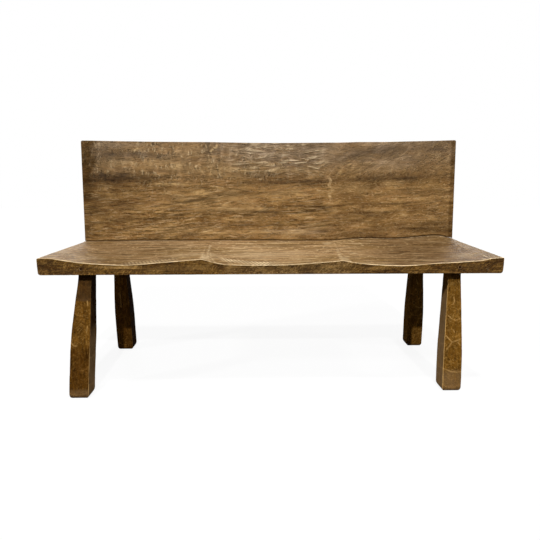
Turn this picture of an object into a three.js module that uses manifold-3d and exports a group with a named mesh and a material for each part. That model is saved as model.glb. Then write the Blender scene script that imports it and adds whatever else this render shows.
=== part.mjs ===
// A long carved hardwood bench: a thick seat slab with three scooped places, a single
// reclined back plank standing on its rear edge, and four hewn legs tenoned into it from below.
// Millimetres, +Z up, +X along the bench to the right, +Y towards the back.
import * as THREE from 'three';
import { mergeVertices } from 'three/addons/utils/BufferGeometryUtils.js';
import Module from 'manifold-3d';

const wasm = await Module();
wasm.setup();

// Seat slab
const seatLength = 1500;
const seatDepth = 445;
const seatThickness = 56.5;
const seatHeight = 465;
const seatCornerRadius = 6;
const seatArris = 4;
const rimDropFrontRight = 3;
const rimDropRearLeft = 2;
const rimRiseRearRight = 5;
const rearLipRise = 15;

// Scooped places in the seat, open at the front edge
const scoopDepth = 23;
const scoopMarginLeft = 48;
const scoopMarginRight = 44;
const ridgeFrontLeft = 228;
const ridgeFrontRight = 225;
const ridgeRearLeft = 252;
const ridgeRearRight = 257;

// Back plank
const backHeight = 396;
const backThickness = 40;
const backRecline = THREE.MathUtils.degToRad(6);
const backRearLedge = 5;
const backTopRiseRight = 4;
const backTopSag = 9;
const backCornerRadius = 6;
const backHollowDepth = 9;
const backMarginLeft = 34;
const backMarginRight = 22;
const ridgeTopLeft = 230;
const ridgeTopRight = 233;

// Legs: how far each head sits in from the slab's edges, and how far each foot stands out from it
const legInsetLeft = 137;
const legInsetRight = 143.5;
const legInsetFront = 58;
const legInsetRear = 40;
const legSoleWidth = 65.5;
const legSoleDepth = 61;
const legHeadWidth = 42.5;
const legHeadDepth = 42;
const legEdgeRadius = 5.5;
const legSoleArris = 3;
const legBow = 0.5;
const frontLeftBow = 3;
const frontLeftSplay = 27;
const frontLeftRake = 68;
const frontRightSplay = 3;
const frontRightRake = 40;
const rearLeftSplay = 1.5;
const rearLeftRake = 15;
const rearRightSplay = 17.5;
const rearRightRake = 29;

// Joinery and fixings
const fitClearance = 0.3;
const cutOverrun = 8;
const legTenonDiameter = 28;
const pegDiameter = 9;
const pegRise = 21;
const pegPast = 8;
const pegInset = 0.4;
const slipTenonWidth = 60;
const slipTenonThickness = 12;
const slipTenonLength = 50;
const slipTenonCount = 5;
const screwCount = 6;
const screwEndInset = 60;
const screwDiameter = 8;
const screwLength = 100;
const screwTipLength = 12;
const screwHeadAcross = 13;
const screwHeadThickness = 5.5;
const washerDiameter = 24;
const washerThickness = 2;
const counterboreDiameter = 27;
const counterboreDepth = 16;

// Steps of the faceted surfaces
const scoopSteps = 16;
const seatRows = 11;
const backRows = 8;
const cornerSteps = 3;
const roundSteps = 20;
const legRings = 9;

// Across each scoop, from left to right: place in the scoop, and share of the scoop's depth
const leftScoopShares = [[0, 0], [0.1, 0.36], [0.2, 0.65], [0.35, 0.86], [0.5, 0.98], [0.65, 0.74],
  [0.8, 0.48], [0.9, 0.32], [1, 0.15]];
const middleScoopShares = [[0, 0.15], [0.06, 0.47], [0.12, 0.78], [0.2, 0.96], [0.4, 1], [0.6, 0.98],
  [0.7, 0.83], [0.8, 0.71], [0.9, 0.57], [1, 0.35]];
const rightScoopShares = [[0, 0.35], [0.08, 0.68], [0.17, 0.89], [0.3, 1.07], [0.39, 1.13], [0.5, 1.03],
  [0.62, 0.8], [0.78, 0.64], [0.88, 0.5], [0.94, 0.44], [1, 0.1]];
const scoopShares = [leftScoopShares, middleScoopShares, rightScoopShares];

// Along the bench, from left to right: the lip under the back plank, and the dip of its top edge
const rearLipShares = [[0, 0], [0.06, 0.07], [0.12, 0.08], [0.5, -0.1], [0.66, -0.3], [0.735, 0.27],
  [0.83, 0.15], [0.9, 0.5], [0.95, 0.95], [0.98, 0.6], [1, 0]];
const topSagShares = [[0, 0], [0.13, 0.25], [0.26, 0.52], [0.4, 0.85], [0.5, 0.98], [0.67, 1],
  [0.74, 0.66], [0.81, 0.6], [0.87, 0.38], [0.93, 0.25], [1, 0]];

// From front to rear: the scoops deepen a little behind the front edge and run out at the back
const scoopFadeShares = [[0, 1], [0.2, 1.05], [0.4, 1.04], [0.6, 0.88], [0.75, 0.62], [0.9, 0.22], [1, 0]];
const lipStartShare = 0.82;

// Up the back plank: its hollows start shallow at the foot
const backHollowShares = [[0, 0.3], [0.25, 0.75], [0.5, 1], [0.8, 1], [1, 0.85]];

// Up each leg: where the full width ends and the taper to the head starts
const frontLeftShoulderShare = 0.46;
const frontRightShoulderShare = 0.27;
const rearLeftShoulderShare = 0.4;
const rearRightShoulderShare = 0.36;

// Sizes that follow from the ones above
const undersideHeight = seatHeight - seatThickness;
const halfLength = seatLength / 2;
const backFootY = seatDepth - backRearLedge - backThickness / Math.cos(backRecline);
const legTenonLength = seatThickness - scoopDepth;
const pegLengthFront = legInsetFront + legTenonDiameter / 2 + pegPast - pegInset;
const pegLengthRear = legInsetRear + legTenonDiameter / 2 + pegPast - pegInset;
const screwSpacing = (seatLength - 2 * screwEndInset) / (screwCount - 1);

const legHeadLeft = -halfLength + legInsetLeft;
const legHeadRight = halfLength - legInsetRight;
const legHeadFront = legInsetFront;
const legHeadRear = seatDepth - legInsetRear;
const legs = [
  { name: 'front_left', side: -1, headX: legHeadLeft, headY: legHeadFront, splay: frontLeftSplay,
    rake: -frontLeftRake, bow: frontLeftBow, shoulderShare: frontLeftShoulderShare },
  { name: 'front_right', side: 1, headX: legHeadRight, headY: legHeadFront, splay: frontRightSplay,
    rake: -frontRightRake, bow: legBow, shoulderShare: frontRightShoulderShare },
  { name: 'rear_left', side: -1, headX: legHeadLeft, headY: legHeadRear, splay: rearLeftSplay,
    rake: rearLeftRake, bow: legBow, shoulderShare: rearLeftShoulderShare },
  { name: 'rear_right', side: 1, headX: legHeadRight, headY: legHeadRear, splay: rearRightSplay,
    rake: rearRightRake, bow: legBow, shoulderShare: rearRightShoulderShare },
];

// Finishes
function wood(color, roughness) {
  return new THREE.MeshStandardMaterial({ color, roughness, metalness: 0 });
}

function metal(color, roughness) {
  return new THREE.MeshStandardMaterial({ color, roughness, metalness: 1 });
}

const seatWood = wood(0x8f7350, 0.55);
const backWood = wood(0x7c6040, 0.5);
const legWood = wood(0x6a4e28, 0.55);
const pegWood = wood(0x3a2817, 0.6);
const tenonWood = wood(0x9a7b52, 0.7);
const screwSteel = metal(0x8d8f90, 0.4);
const washerSteel = metal(0x9c9e9f, 0.35);

// Reads a table of places and values, as a smooth curve that never overshoots
function readShares(shares, place) {
  const slopeAfter = (i) => (shares[i + 1][1] - shares[i][1]) / (shares[i + 1][0] - shares[i][0]);
  const slopeAt = (i) => {
    if (i === 0) return slopeAfter(0);
    if (i === shares.length - 1) return slopeAfter(i - 1);
    const before = slopeAfter(i - 1);
    const after = slopeAfter(i);
    return before * after > 0 ? 2 * before * after / (before + after) : 0;
  };
  let i = 0;
  while (i < shares.length - 2 && place > shares[i + 1][0]) i += 1;
  const span = shares[i + 1][0] - shares[i][0];
  const t = THREE.MathUtils.clamp((place - shares[i][0]) / span, 0, 1);
  const rise = t * t * (3 - 2 * t);
  const bend = slopeAt(i) * t * (1 - t) * (1 - t) - slopeAt(i + 1) * t * t * (1 - t);
  return THREE.MathUtils.lerp(shares[i][1], shares[i + 1][1], rise) + bend * span;
}

// Solids from geometries, and back; points closer than a hair of the clearance are one point
function toSolid(geometry) {
  const bare = geometry.clone();
  for (const name of Object.keys(bare.attributes)) {
    if (name !== 'position') bare.deleteAttribute(name);
  }
  const merged = mergeVertices(bare, fitClearance / 1000);
  const corners = merged.index.array;
  const faces = [];
  for (let i = 0; i < corners.length; i += 3) {
    const [a, b, c] = corners.subarray(i, i + 3);
    if (a !== b && b !== c && c !== a) faces.push(a, b, c);
  }
  const vertProperties = Float32Array.from(merged.attributes.position.array);
  const triVerts = Uint32Array.from(faces);
  return new wasm.Manifold(new wasm.Mesh({ numProp: 3, vertProperties, triVerts }));
}

function toGeometry(solid) {
  const { vertProperties, triVerts, numProp } = solid.getMesh();
  const places = new Float32Array(vertProperties.length / numProp * 3);
  for (let i = 0; i < places.length / 3; i += 1) {
    places.set(vertProperties.subarray(i * numProp, i * numProp + 3), i * 3);
  }
  const geometry = new THREE.BufferGeometry();
  geometry.setAttribute('position', new THREE.BufferAttribute(places, 3));
  geometry.setIndex(new THREE.BufferAttribute(Uint32Array.from(triVerts), 1));
  geometry.computeVertexNormals();
  return geometry;
}

function cutAway(geometry, cutters) {
  return toGeometry(cutters.reduce((solid, cutter) => solid.subtract(toSolid(cutter)), toSolid(geometry)));
}

function mesh(name, geometry, material, x = 0, y = 0, z = 0) {
  const piece = new THREE.Mesh(geometry, material);
  piece.name = name;
  piece.position.set(x, y, z);
  return piece;
}

// A round bar from one point to another
function bar(diameter, from, to) {
  const along = new THREE.Vector3().subVectors(to, from);
  const geometry = new THREE.CylinderGeometry(diameter / 2, diameter / 2, along.length(), roundSteps);
  const upright = new THREE.Vector3(0, 1, 0);
  geometry.applyQuaternion(new THREE.Quaternion().setFromUnitVectors(upright, along.clone().normalize()));
  return geometry.translate(...new THREE.Vector3().addVectors(from, to).multiplyScalar(0.5));
}

// A closed skin over two grids of points with the same rows and columns
function skinBetween(upper, lower) {
  const rows = upper.length;
  const columns = upper[0].length;
  const places = [...upper.flat(), ...lower.flat()];
  const up = (r, c) => r * columns + c;
  const low = (r, c) => rows * columns + up(r, c);
  const faces = [];
  const quad = (a, b, c, d) => faces.push(a, b, c, a, c, d);
  for (let r = 0; r < rows - 1; r += 1) {
    for (let c = 0; c < columns - 1; c += 1) {
      quad(up(r, c), up(r, c + 1), up(r + 1, c + 1), up(r + 1, c));
      quad(low(r, c), low(r + 1, c), low(r + 1, c + 1), low(r, c + 1));
    }
  }
  for (let c = 0; c < columns - 1; c += 1) {
    quad(low(0, c), low(0, c + 1), up(0, c + 1), up(0, c));
    quad(low(rows - 1, c + 1), low(rows - 1, c), up(rows - 1, c), up(rows - 1, c + 1));
  }
  for (let r = 0; r < rows - 1; r += 1) {
    quad(low(r + 1, 0), low(r, 0), up(r, 0), up(r + 1, 0));
    quad(low(r, columns - 1), low(r + 1, columns - 1), up(r + 1, columns - 1), up(r, columns - 1));
  }
  const geometry = new THREE.BufferGeometry();
  geometry.setAttribute('position', new THREE.BufferAttribute(new Float32Array(places.flat()), 3));
  geometry.setIndex(faces);
  return geometry;
}

// Places along the bench: rounded corners, then three hollows between the four given borders
function columnsBetween(borders) {
  const corner = Array.from({ length: cornerSteps + 1 }, (_, k) =>
    backCornerRadius * (1 - Math.cos(k / cornerSteps * Math.PI / 2)));
  const columns = corner.map((inset) => -halfLength + inset);
  for (let i = 0; i < borders.length - 1; i += 1) {
    for (let k = i === 0 ? 0 : 1; k <= scoopSteps; k += 1) {
      const even = k / scoopSteps;
      const crowded = even - Math.sin(2 * Math.PI * even) / (4 * Math.PI);
      columns.push(THREE.MathUtils.lerp(borders[i], borders[i + 1], crowded));
    }
  }
  return [...columns, ...corner.reverse().map((inset) => halfLength - inset)];
}

function hollowAt(borders, x) {
  const last = borders.length - 1;
  if (x < borders[0] || x > borders[last]) return null;
  let index = 0;
  while (index < last - 1 && x > borders[index + 1]) index += 1;
  return { index, place: (x - borders[index]) / (borders[index + 1] - borders[index]) };
}

function seatBorders(back) {
  return [
    -halfLength + scoopMarginLeft,
    -THREE.MathUtils.lerp(ridgeFrontLeft, ridgeRearLeft, back),
    THREE.MathUtils.lerp(ridgeFrontRight, ridgeRearRight, back),
    halfLength - scoopMarginRight,
  ];
}

// The seat's top surface above its underside; back is 0 at the front edge and 1 at the back plank
function seatTop(x, back) {
  const along = THREE.MathUtils.clamp((x + halfLength) / seatLength, 0, 1);
  const frontRim = -rimDropFrontRight * along;
  const rearRim = THREE.MathUtils.lerp(-rimDropRearLeft, rimRiseRearRight, along);
  const curl = THREE.MathUtils.smoothstep(back, lipStartShare, 1);
  const lip = rearLipRise * readShares(rearLipShares, along) * curl;
  const rim = seatThickness + THREE.MathUtils.lerp(frontRim, rearRim, back) + lip;
  const hollow = hollowAt(seatBorders(back), x);
  if (!hollow) return rim;
  const dish = readShares(scoopShares[hollow.index], hollow.place) * readShares(scoopFadeShares, back);
  return rim - scoopDepth * dish;
}

function roundedRectangle(width, depth, radius) {
  const shape = new THREE.Shape();
  shape.moveTo(-width / 2 + radius, 0);
  shape.absarc(width / 2 - radius, radius, radius, -Math.PI / 2, 0);
  shape.absarc(width / 2 - radius, depth - radius, radius, 0, Math.PI / 2);
  shape.absarc(-width / 2 + radius, depth - radius, radius, Math.PI / 2, Math.PI);
  shape.absarc(-width / 2 + radius, radius, radius, Math.PI, Math.PI * 3 / 2);
  return shape;
}

function seatBlank() {
  const tallest = seatThickness + rearLipRise + rimRiseRearRight + cutOverrun;
  const blank = new THREE.ExtrudeGeometry(roundedRectangle(seatLength, seatDepth, seatCornerRadius), {
    depth: tallest - seatArris, curveSegments: cornerSteps, bevelEnabled: true, bevelSegments: 2,
    bevelThickness: seatArris, bevelSize: seatArris, bevelOffset: -seatArris,
  });
  return blank.translate(0, 0, seatArris);
}

function seatCarving() {
  const rowsInFront = Array.from({ length: seatRows + 1 }, (_, k) => k / seatRows);
  const rows = [[-cutOverrun, 0], ...rowsInFront.map((back) => [back * backFootY, back]),
    [seatDepth + cutOverrun, 1]];
  const grid = rows.map(([y, back]) => {
    const columns = columnsBetween(seatBorders(back));
    const places = [-halfLength - cutOverrun, ...columns, halfLength + cutOverrun];
    return places.map((x) => [x, y, seatTop(x, back)]);
  });
  const below = grid.map((row) => row.map(([x, y]) => [x, y, -cutOverrun]));
  return skinBetween(grid, below);
}

// A leg's axis, from its foot to its head; heights are shares from sole to head
function legAxis(leg, share) {
  const bow = 4 * leg.bow * share * (1 - share);
  const x = leg.side * (leg.splay * (1 - share) + bow);
  return new THREE.Vector3(x, leg.rake * (1 - share), -undersideHeight * (1 - share));
}

function legSize(leg, share) {
  const taper = Math.max(0, (share - leg.shoulderShare) / (1 - leg.shoulderShare));
  const ease = taper * taper / (taper + (1 - taper) * leg.shoulderShare / 4);
  return {
    width: THREE.MathUtils.lerp(legSoleWidth, legHeadWidth, ease || 0),
    depth: THREE.MathUtils.lerp(legSoleDepth, legHeadDepth, ease || 0),
  };
}

function legRing(centre, z, width, depth, radius) {
  const ring = [];
  for (const [sx, sy, start] of [[1, -1, -90], [1, 1, 0], [-1, 1, 90], [-1, -1, 180]]) {
    for (let k = 0; k <= cornerSteps; k += 1) {
      const angle = THREE.MathUtils.degToRad(start + k / cornerSteps * 90);
      ring.push([
        centre.x + sx * (width / 2 - radius) + radius * Math.cos(angle),
        centre.y + sy * (depth / 2 - radius) + radius * Math.sin(angle),
        z,
      ]);
    }
  }
  return ring;
}

// A closed solid through rings of points, one above the other
function loft(rings) {
  const count = rings[0].length;
  const faces = [];
  for (let r = 0; r < rings.length - 1; r += 1) {
    for (let k = 0; k < count; k += 1) {
      const next = (k + 1) % count;
      const [a, b] = [r * count + k, r * count + next];
      faces.push(a, b, b + count, a, b + count, a + count);
    }
  }
  const top = (rings.length - 1) * count;
  for (let k = 1; k < count - 1; k += 1) {
    faces.push(0, k + 1, k, top, top + k, top + k + 1);
  }
  const geometry = new THREE.BufferGeometry();
  geometry.setAttribute('position', new THREE.BufferAttribute(new Float32Array(rings.flat(2)), 3));
  geometry.setIndex(faces);
  return geometry;
}

function legBody(leg) {
  const rings = [];
  for (let k = 0; k < cornerSteps; k += 1) {
    const angle = k / cornerSteps * Math.PI / 2;
    const inset = legSoleArris * (1 - Math.sin(angle));
    const rise = legSoleArris * (1 - Math.cos(angle));
    const { width, depth } = legSize(leg, 0);
    rings.push(legRing(legAxis(leg, 0), -undersideHeight + rise,
      width - 2 * inset, depth - 2 * inset, legEdgeRadius - inset));
  }
  const firstShare = legSoleArris / undersideHeight;
  for (let k = 0; k <= legRings; k += 1) {
    const share = THREE.MathUtils.lerp(firstShare, 1, k / legRings);
    const { width, depth } = legSize(leg, share);
    const axis = legAxis(leg, share);
    rings.push(legRing(axis, axis.z - fitClearance * share, width, depth, legEdgeRadius));
  }
  return loft(rings);
}

// The round tenon runs on along the leg's own slope; extra widens and lengthens it for the mortise
function legTenon(leg, extra, below) {
  const slope = legAxis(leg, 1).sub(legAxis(leg, 0));
  slope.divideScalar(slope.z);
  const from = slope.clone().multiplyScalar(-below);
  const to = slope.clone().multiplyScalar(legTenonLength - fitClearance + extra);
  return bar(legTenonDiameter + 2 * extra, from, to);
}

// Each leg's peg runs level from the slab's nearest long edge through the tenon
function pegSpan(leg) {
  const front = leg.headY < seatDepth / 2;
  const outside = front ? -leg.headY : seatDepth - leg.headY;
  const inward = front ? 1 : -1;
  const slope = legAxis(leg, 1).sub(legAxis(leg, 0));
  const x = slope.x / slope.z * pegRise;
  const length = front ? pegLengthFront : pegLengthRear;
  const mouth = new THREE.Vector3(x, outside + inward * pegInset, pegRise);
  const end = new THREE.Vector3(x, outside + inward * (pegInset + length), pegRise);
  return { mouth, end, inward };
}

function pegHole(leg) {
  const { mouth, end, inward } = pegSpan(leg);
  mouth.y -= inward * cutOverrun;
  end.y += inward * fitClearance;
  return bar(pegDiameter + 2 * fitClearance, mouth, end);
}

function legGeometry(leg) {
  const solid = toSolid(legBody(leg)).add(toSolid(legTenon(leg, 0, cutOverrun)));
  return toGeometry(solid.subtract(toSolid(pegHole(leg))));
}

// The reclined frame: origin on the slab at the back plank's foot, local Z up the plank
const reclined = new THREE.Group();
reclined.position.set(0, backFootY, seatThickness);
reclined.rotation.x = -backRecline;
reclined.updateMatrix();

// Height, in the reclined frame, of the slab's level bed at a place along the bench
function bedHeight(x, through, gap) {
  const rise = seatTop(x, 1) - seatThickness + gap;
  return (rise + through * Math.sin(backRecline)) / Math.cos(backRecline);
}

function backTopHeight(x) {
  const along = THREE.MathUtils.clamp((x + halfLength) / seatLength, 0, 1);
  const inset = THREE.MathUtils.clamp(halfLength - Math.abs(x), 0, backCornerRadius);
  const reach = backCornerRadius - inset;
  const corner = backCornerRadius - Math.sqrt(backCornerRadius * backCornerRadius - reach * reach);
  return backHeight + backTopRiseRight * along - backTopSag * readShares(topSagShares, along) - corner;
}

function backPlank() {
  const footBorders = seatBorders(1);
  const endLeft = -halfLength + backMarginLeft;
  const endRight = halfLength - backMarginRight;
  const topBorders = [endLeft, -ridgeTopLeft, ridgeTopRight, endRight];
  const face = [];
  const rear = [];
  for (let k = 0; k <= backRows; k += 1) {
    const up = k / backRows;
    const borders = footBorders.map((foot, i) => THREE.MathUtils.lerp(foot, topBorders[i], up));
    const columns = columnsBetween(borders);
    const place = (x, through) => {
      const z = THREE.MathUtils.lerp(bedHeight(x, through, fitClearance), backTopHeight(x), up);
      return [x, through, z];
    };
    face.push(columns.map((x) => {
      const hollow = hollowAt(borders, x);
      const dish = hollow ? 4 * hollow.place * (1 - hollow.place) : 0;
      return place(x, backHollowDepth * dish * readShares(backHollowShares, up));
    }));
    rear.push(columns.map((x) => place(x, backThickness)));
  }
  return skinBetween(face, rear);
}

// Slip tenons: flat loose tongues with rounded edges, half in the slab and half in the plank
function slipTenon(extra) {
  const width = slipTenonWidth + 2 * extra;
  const thickness = slipTenonThickness + 2 * extra;
  const length = slipTenonLength + 2 * extra;
  const reach = width / 2 - thickness / 2;
  const shape = new THREE.Shape();
  shape.absarc(reach, 0, thickness / 2, -Math.PI / 2, Math.PI / 2);
  shape.absarc(-reach, 0, thickness / 2, Math.PI / 2, Math.PI * 3 / 2);
  const settings = { depth: length, curveSegments: 2 * cornerSteps, bevelEnabled: false };
  const geometry = new THREE.ExtrudeGeometry(shape, settings);
  return geometry.translate(0, 0, -length / 2);
}

function slipTenonPlaces() {
  return Array.from({ length: slipTenonCount }, (_, k) => {
    const x = (k - (slipTenonCount - 1) / 2) * screwSpacing;
    return new THREE.Vector3(x, backThickness / 2, bedHeight(x, backThickness / 2, 0));
  });
}

// Coach screws rise from counterbores in the slab's underside into the plank's bottom edge
function counterboreCeiling() {
  const underside = (-seatThickness + backThickness / 2 * Math.sin(backRecline)) / Math.cos(backRecline);
  return underside + counterboreDepth;
}

function screwPlaces() {
  return Array.from({ length: screwCount }, (_, k) => {
    const x = -halfLength + screwEndInset + k * screwSpacing;
    return new THREE.Vector3(x, backThickness / 2, counterboreCeiling());
  });
}

function coachScrew() {
  const washerStack = washerThickness + 2 * fitClearance;
  const radius = screwDiameter / 2;
  const tip = screwLength - washerStack;
  const headMiddle = -washerStack - screwHeadThickness / 2;
  const profile = [[0, headMiddle], [radius, headMiddle], [radius, tip - screwTipLength], [0, tip]];
  const shank = new THREE.LatheGeometry(profile.map(([x, y]) => new THREE.Vector2(x, y)), roundSteps);
  const headRadius = screwHeadAcross / 2 / Math.cos(Math.PI / 6);
  const head = new THREE.CylinderGeometry(headRadius, headRadius, screwHeadThickness, 6);
  head.translate(0, headMiddle, 0);
  return toGeometry(toSolid(shank).add(toSolid(head))).rotateX(Math.PI / 2);
}

function washer() {
  const inner = screwDiameter / 2 + fitClearance;
  const outer = washerDiameter / 2;
  const low = -fitClearance - washerThickness;
  const high = -fitClearance;
  const profile = [[inner, low], [outer, low], [outer, high], [inner, high], [inner, low]];
  const ring = new THREE.LatheGeometry(profile.map(([x, y]) => new THREE.Vector2(x, y)), roundSteps);
  return ring.rotateX(Math.PI / 2);
}

function screwHole(place) {
  const upright = (height) => new THREE.Vector3(place.x, place.y, place.z + height);
  const hole = bar(screwDiameter + 2 * fitClearance, upright(-cutOverrun), upright(screwLength));
  const counterbore = bar(counterboreDiameter, upright(-counterboreDepth - cutOverrun), upright(0));
  return { hole, counterbore };
}

// The assembled bench, built in a frame with its origin under the middle of the slab's front edge
const bench = new THREE.Group();
const slab = new THREE.Group();
slab.position.z = undersideHeight;
slab.add(reclined);
bench.add(slab);

const slipMortises = slipTenonPlaces().map(({ x, y, z }) => slipTenon(fitClearance).translate(x, y, z));
const screwHoles = screwPlaces().map(screwHole);
const plankCutters = [...slipMortises, ...screwHoles.map(({ hole }) => hole)];
const slabCutters = [...plankCutters, ...screwHoles.map(({ counterbore }) => counterbore)]
  .map((cutter) => cutter.clone().applyMatrix4(reclined.matrix));
for (const leg of legs) {
  slabCutters.push(legTenon(leg, fitClearance, cutOverrun).translate(leg.headX, leg.headY, 0));
  slabCutters.push(pegHole(leg).translate(leg.headX, leg.headY, 0));
}

const carvedSlab = toGeometry(toSolid(seatBlank()).intersect(toSolid(seatCarving())));
slab.add(mesh('seat_slab', cutAway(carvedSlab, slabCutters), seatWood));
reclined.add(mesh('back_plank', cutAway(backPlank(), plankCutters), backWood));

for (const leg of legs) {
  const { mouth, end } = pegSpan(leg);
  slab.add(mesh(`leg_${leg.name}`, legGeometry(leg), legWood, leg.headX, leg.headY));
  const peg = bar(pegDiameter, mouth, end);
  slab.add(mesh(`leg_peg_${leg.name}`, peg, pegWood, leg.headX, leg.headY));
}

slipTenonPlaces().forEach(({ x, y, z }, k) => {
  reclined.add(mesh(`slip_tenon_${k + 1}`, slipTenon(0), tenonWood, x, y, z));
});

screwPlaces().forEach(({ x, y, z }, k) => {
  reclined.add(mesh(`coach_screw_${k + 1}`, coachScrew(), screwSteel, x, y, z));
  reclined.add(mesh(`screw_washer_${k + 1}`, washer(), washerSteel, x, y, z));
});

// The origin moves to the middle of the footprint, on the floor
bench.updateMatrixWorld(true);
const extent = new THREE.Box3().setFromObject(bench, true);
const middle = extent.getCenter(new THREE.Vector3());
bench.position.set(-middle.x, -middle.y, -extent.min.z);
bench.updateMatrixWorld(true);

export default bench;
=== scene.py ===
# Looks of a carved hardwood bench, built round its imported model. Metres, +Z up, the front towards -Y.
import math

import bpy
import numpy as np
from mathutils import Matrix, Vector, noise
from mathutils.bvhtree import BVHTree


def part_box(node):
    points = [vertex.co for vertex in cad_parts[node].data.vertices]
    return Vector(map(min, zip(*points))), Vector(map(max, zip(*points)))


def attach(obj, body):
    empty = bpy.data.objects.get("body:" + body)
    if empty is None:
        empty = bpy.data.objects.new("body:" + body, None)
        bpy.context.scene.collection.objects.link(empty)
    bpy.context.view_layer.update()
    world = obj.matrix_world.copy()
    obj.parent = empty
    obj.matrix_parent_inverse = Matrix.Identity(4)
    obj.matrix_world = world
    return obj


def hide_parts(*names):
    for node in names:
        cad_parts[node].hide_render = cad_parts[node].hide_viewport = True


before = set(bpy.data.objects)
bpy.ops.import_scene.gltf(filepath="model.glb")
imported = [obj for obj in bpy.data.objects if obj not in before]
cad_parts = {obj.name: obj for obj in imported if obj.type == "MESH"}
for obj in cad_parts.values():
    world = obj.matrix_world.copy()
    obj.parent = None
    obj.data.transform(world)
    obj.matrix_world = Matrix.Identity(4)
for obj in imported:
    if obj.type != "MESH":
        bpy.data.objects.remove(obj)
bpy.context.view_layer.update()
mm = 0.001
xAxis, yAxis, zAxis = 0, 1, 2
print("frame loaded:", len(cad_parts), "nodes")

# Camera, in front of the bench and a little above its back
camera = {
    "place": (-38.7, -1603.2, 712.6),  # mm
    "dip": 11.8,  # degrees below level
    "turn": -1.21,  # degrees, so it looks a little to the right
    "focalPixels": 440,
    "framePixels": 540,
    "sensor": 36,  # mm
    "farthest": 100,  # metres
}


def addCamera():
    data = bpy.data.cameras.new("camera")
    data.sensor_width = camera["sensor"]
    data.lens = camera["sensor"] * camera["focalPixels"] / camera["framePixels"]
    data.clip_end = camera["farthest"]
    seer = bpy.data.objects.new("camera", data)
    seer.location = Vector(camera["place"]) * mm
    seer.rotation_euler = (math.radians(90 - camera["dip"]), 0, math.radians(camera["turn"]))
    bpy.context.scene.collection.objects.link(seer)
    bpy.context.scene.camera = seer


addCamera()
bpy.context.scene.view_settings.view_transform = "Standard"

# Studio light: a hard key from the front, one overhead, one from each side and weak ones from the rear.
# Their elevation, azimuth and spread are in degrees
lamps = {
    "frontKey": {"elevation": 39, "azimuth": 4, "strength": 2.1, "spread": 1.2},
    "overhead": {"elevation": 76, "azimuth": -10, "strength": 1.5, "spread": 3},
    "leftSide": {"elevation": 31, "azimuth": -66, "strength": 1.4, "spread": 5},
    "rightSide": {"elevation": 43, "azimuth": 75, "strength": 0.7, "spread": 6},
    "rearLeft": {"elevation": 32, "azimuth": -160, "strength": 0.85, "spread": 20},
    "rearRight": {"elevation": 32, "azimuth": 160, "strength": 0.85, "spread": 20},
}
studio = {
    "ambient": 0.06, "floorTone": "#5A5957", "paper": "#E6E6E6", "floorHalf": 9.0, "shadowShare": 0.1,
}


def addLamps():
    for name, lamp in lamps.items():
        data = bpy.data.lights.new(name, "SUN")
        data.energy = lamp["strength"]
        data.angle = math.radians(lamp["spread"])
        sun = bpy.data.objects.new(name, data)
        sun.rotation_euler = (math.radians(90 - lamp["elevation"]), 0, math.radians(lamp["azimuth"]))
        bpy.context.scene.collection.objects.link(sun)


addLamps()


# Node helper: one node with its settings and links, given back as its first working output
def addNode(tree, kind, links=None, **settings):
    node = tree.nodes.new("ShaderNode" + kind)
    for key, value in settings.items():
        setattr(node, key, value)
    for name, value in (links or {}).items():
        if isinstance(name, int):
            socket = node.inputs[name]
        else:
            socket = next(s for s in node.inputs if s.enabled and s.name == name)
        if isinstance(value, bpy.types.NodeSocket):
            tree.links.new(value, socket)
        else:
            socket.default_value = value
    return next((s for s in node.outputs if s.enabled), None)


def linear(hexColour):
    shares = [int(hexColour[i : i + 2], 16) / 255 for i in (1, 3, 5)]
    return [s / 12.92 if s <= 0.04045 else ((s + 0.055) / 1.055) ** 2.4 for s in shares] + [1.0]


def newMaterial(name):
    material = bpy.data.materials.new(name)
    material.use_nodes = True
    material.node_tree.nodes.clear()
    return material, material.node_tree


def perMetre(sizes):
    # How often a pattern of that size in mm repeats in a metre, along X, Y and Z
    return [1 / (size * mm) for size in sizes]


def seenDirectly(tree):
    # 1 for rays from the camera, and for those that gloss or glass sends on
    rays = addNode(tree, "LightPath").node.outputs
    seen = addNode(tree, "Math", {0: rays["Is Camera Ray"], 1: rays["Is Glossy Ray"]}, operation="MAXIMUM")
    return addNode(tree, "Math", {0: seen, 1: rays["Is Transmission Ray"]}, operation="MAXIMUM")


# Studio floor and background: white where the camera sees them, with a light shadow under the bench
def addStudio():
    world = bpy.data.worlds.new("studio")
    bpy.context.scene.world = world
    world.use_nodes = True
    tree = world.node_tree
    tree.nodes.clear()
    strength = addNode(
        tree, "MapRange", {"Value": seenDirectly(tree), "To Min": studio["ambient"], "To Max": 1.0}
    )
    light = addNode(tree, "Background", {"Color": (1, 1, 1, 1), "Strength": strength})
    addNode(tree, "OutputWorld", {"Surface": light})

    material, tree = newMaterial("matte white studio floor")  # paper: flat, no gloss
    seen = seenDirectly(tree)
    tones = {"Factor": seen, "A": linear(studio["floorTone"]), "B": linear(studio["paper"])}
    paper = addNode(tree, "BsdfDiffuse", {"Color": addNode(tree, "Mix", tones, data_type="RGBA")})
    glow = addNode(tree, "Emission", {"Color": (1, 1, 1, 1), "Strength": 1.0})
    share = addNode(tree, "Math", {0: seen, 1: 1 - studio["shadowShare"]}, operation="MULTIPLY")
    surface = addNode(tree, "MixShader", {0: share, 1: paper, 2: glow})
    addNode(tree, "OutputMaterial", {"Surface": surface})

    half = studio["floorHalf"]
    mesh = bpy.data.meshes.new("studioFloor")
    corners = [(-half, -half, 0), (half, -half, 0), (half, half, 0), (-half, half, 0)]
    mesh.from_pydata(corners, [], [(0, 1, 2, 3)])
    mesh.materials.append(material)
    floor = bpy.data.objects.new("studioFloor", mesh)
    bpy.context.scene.collection.objects.link(floor)


addStudio()
print("camera, lamps and studio made")


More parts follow.
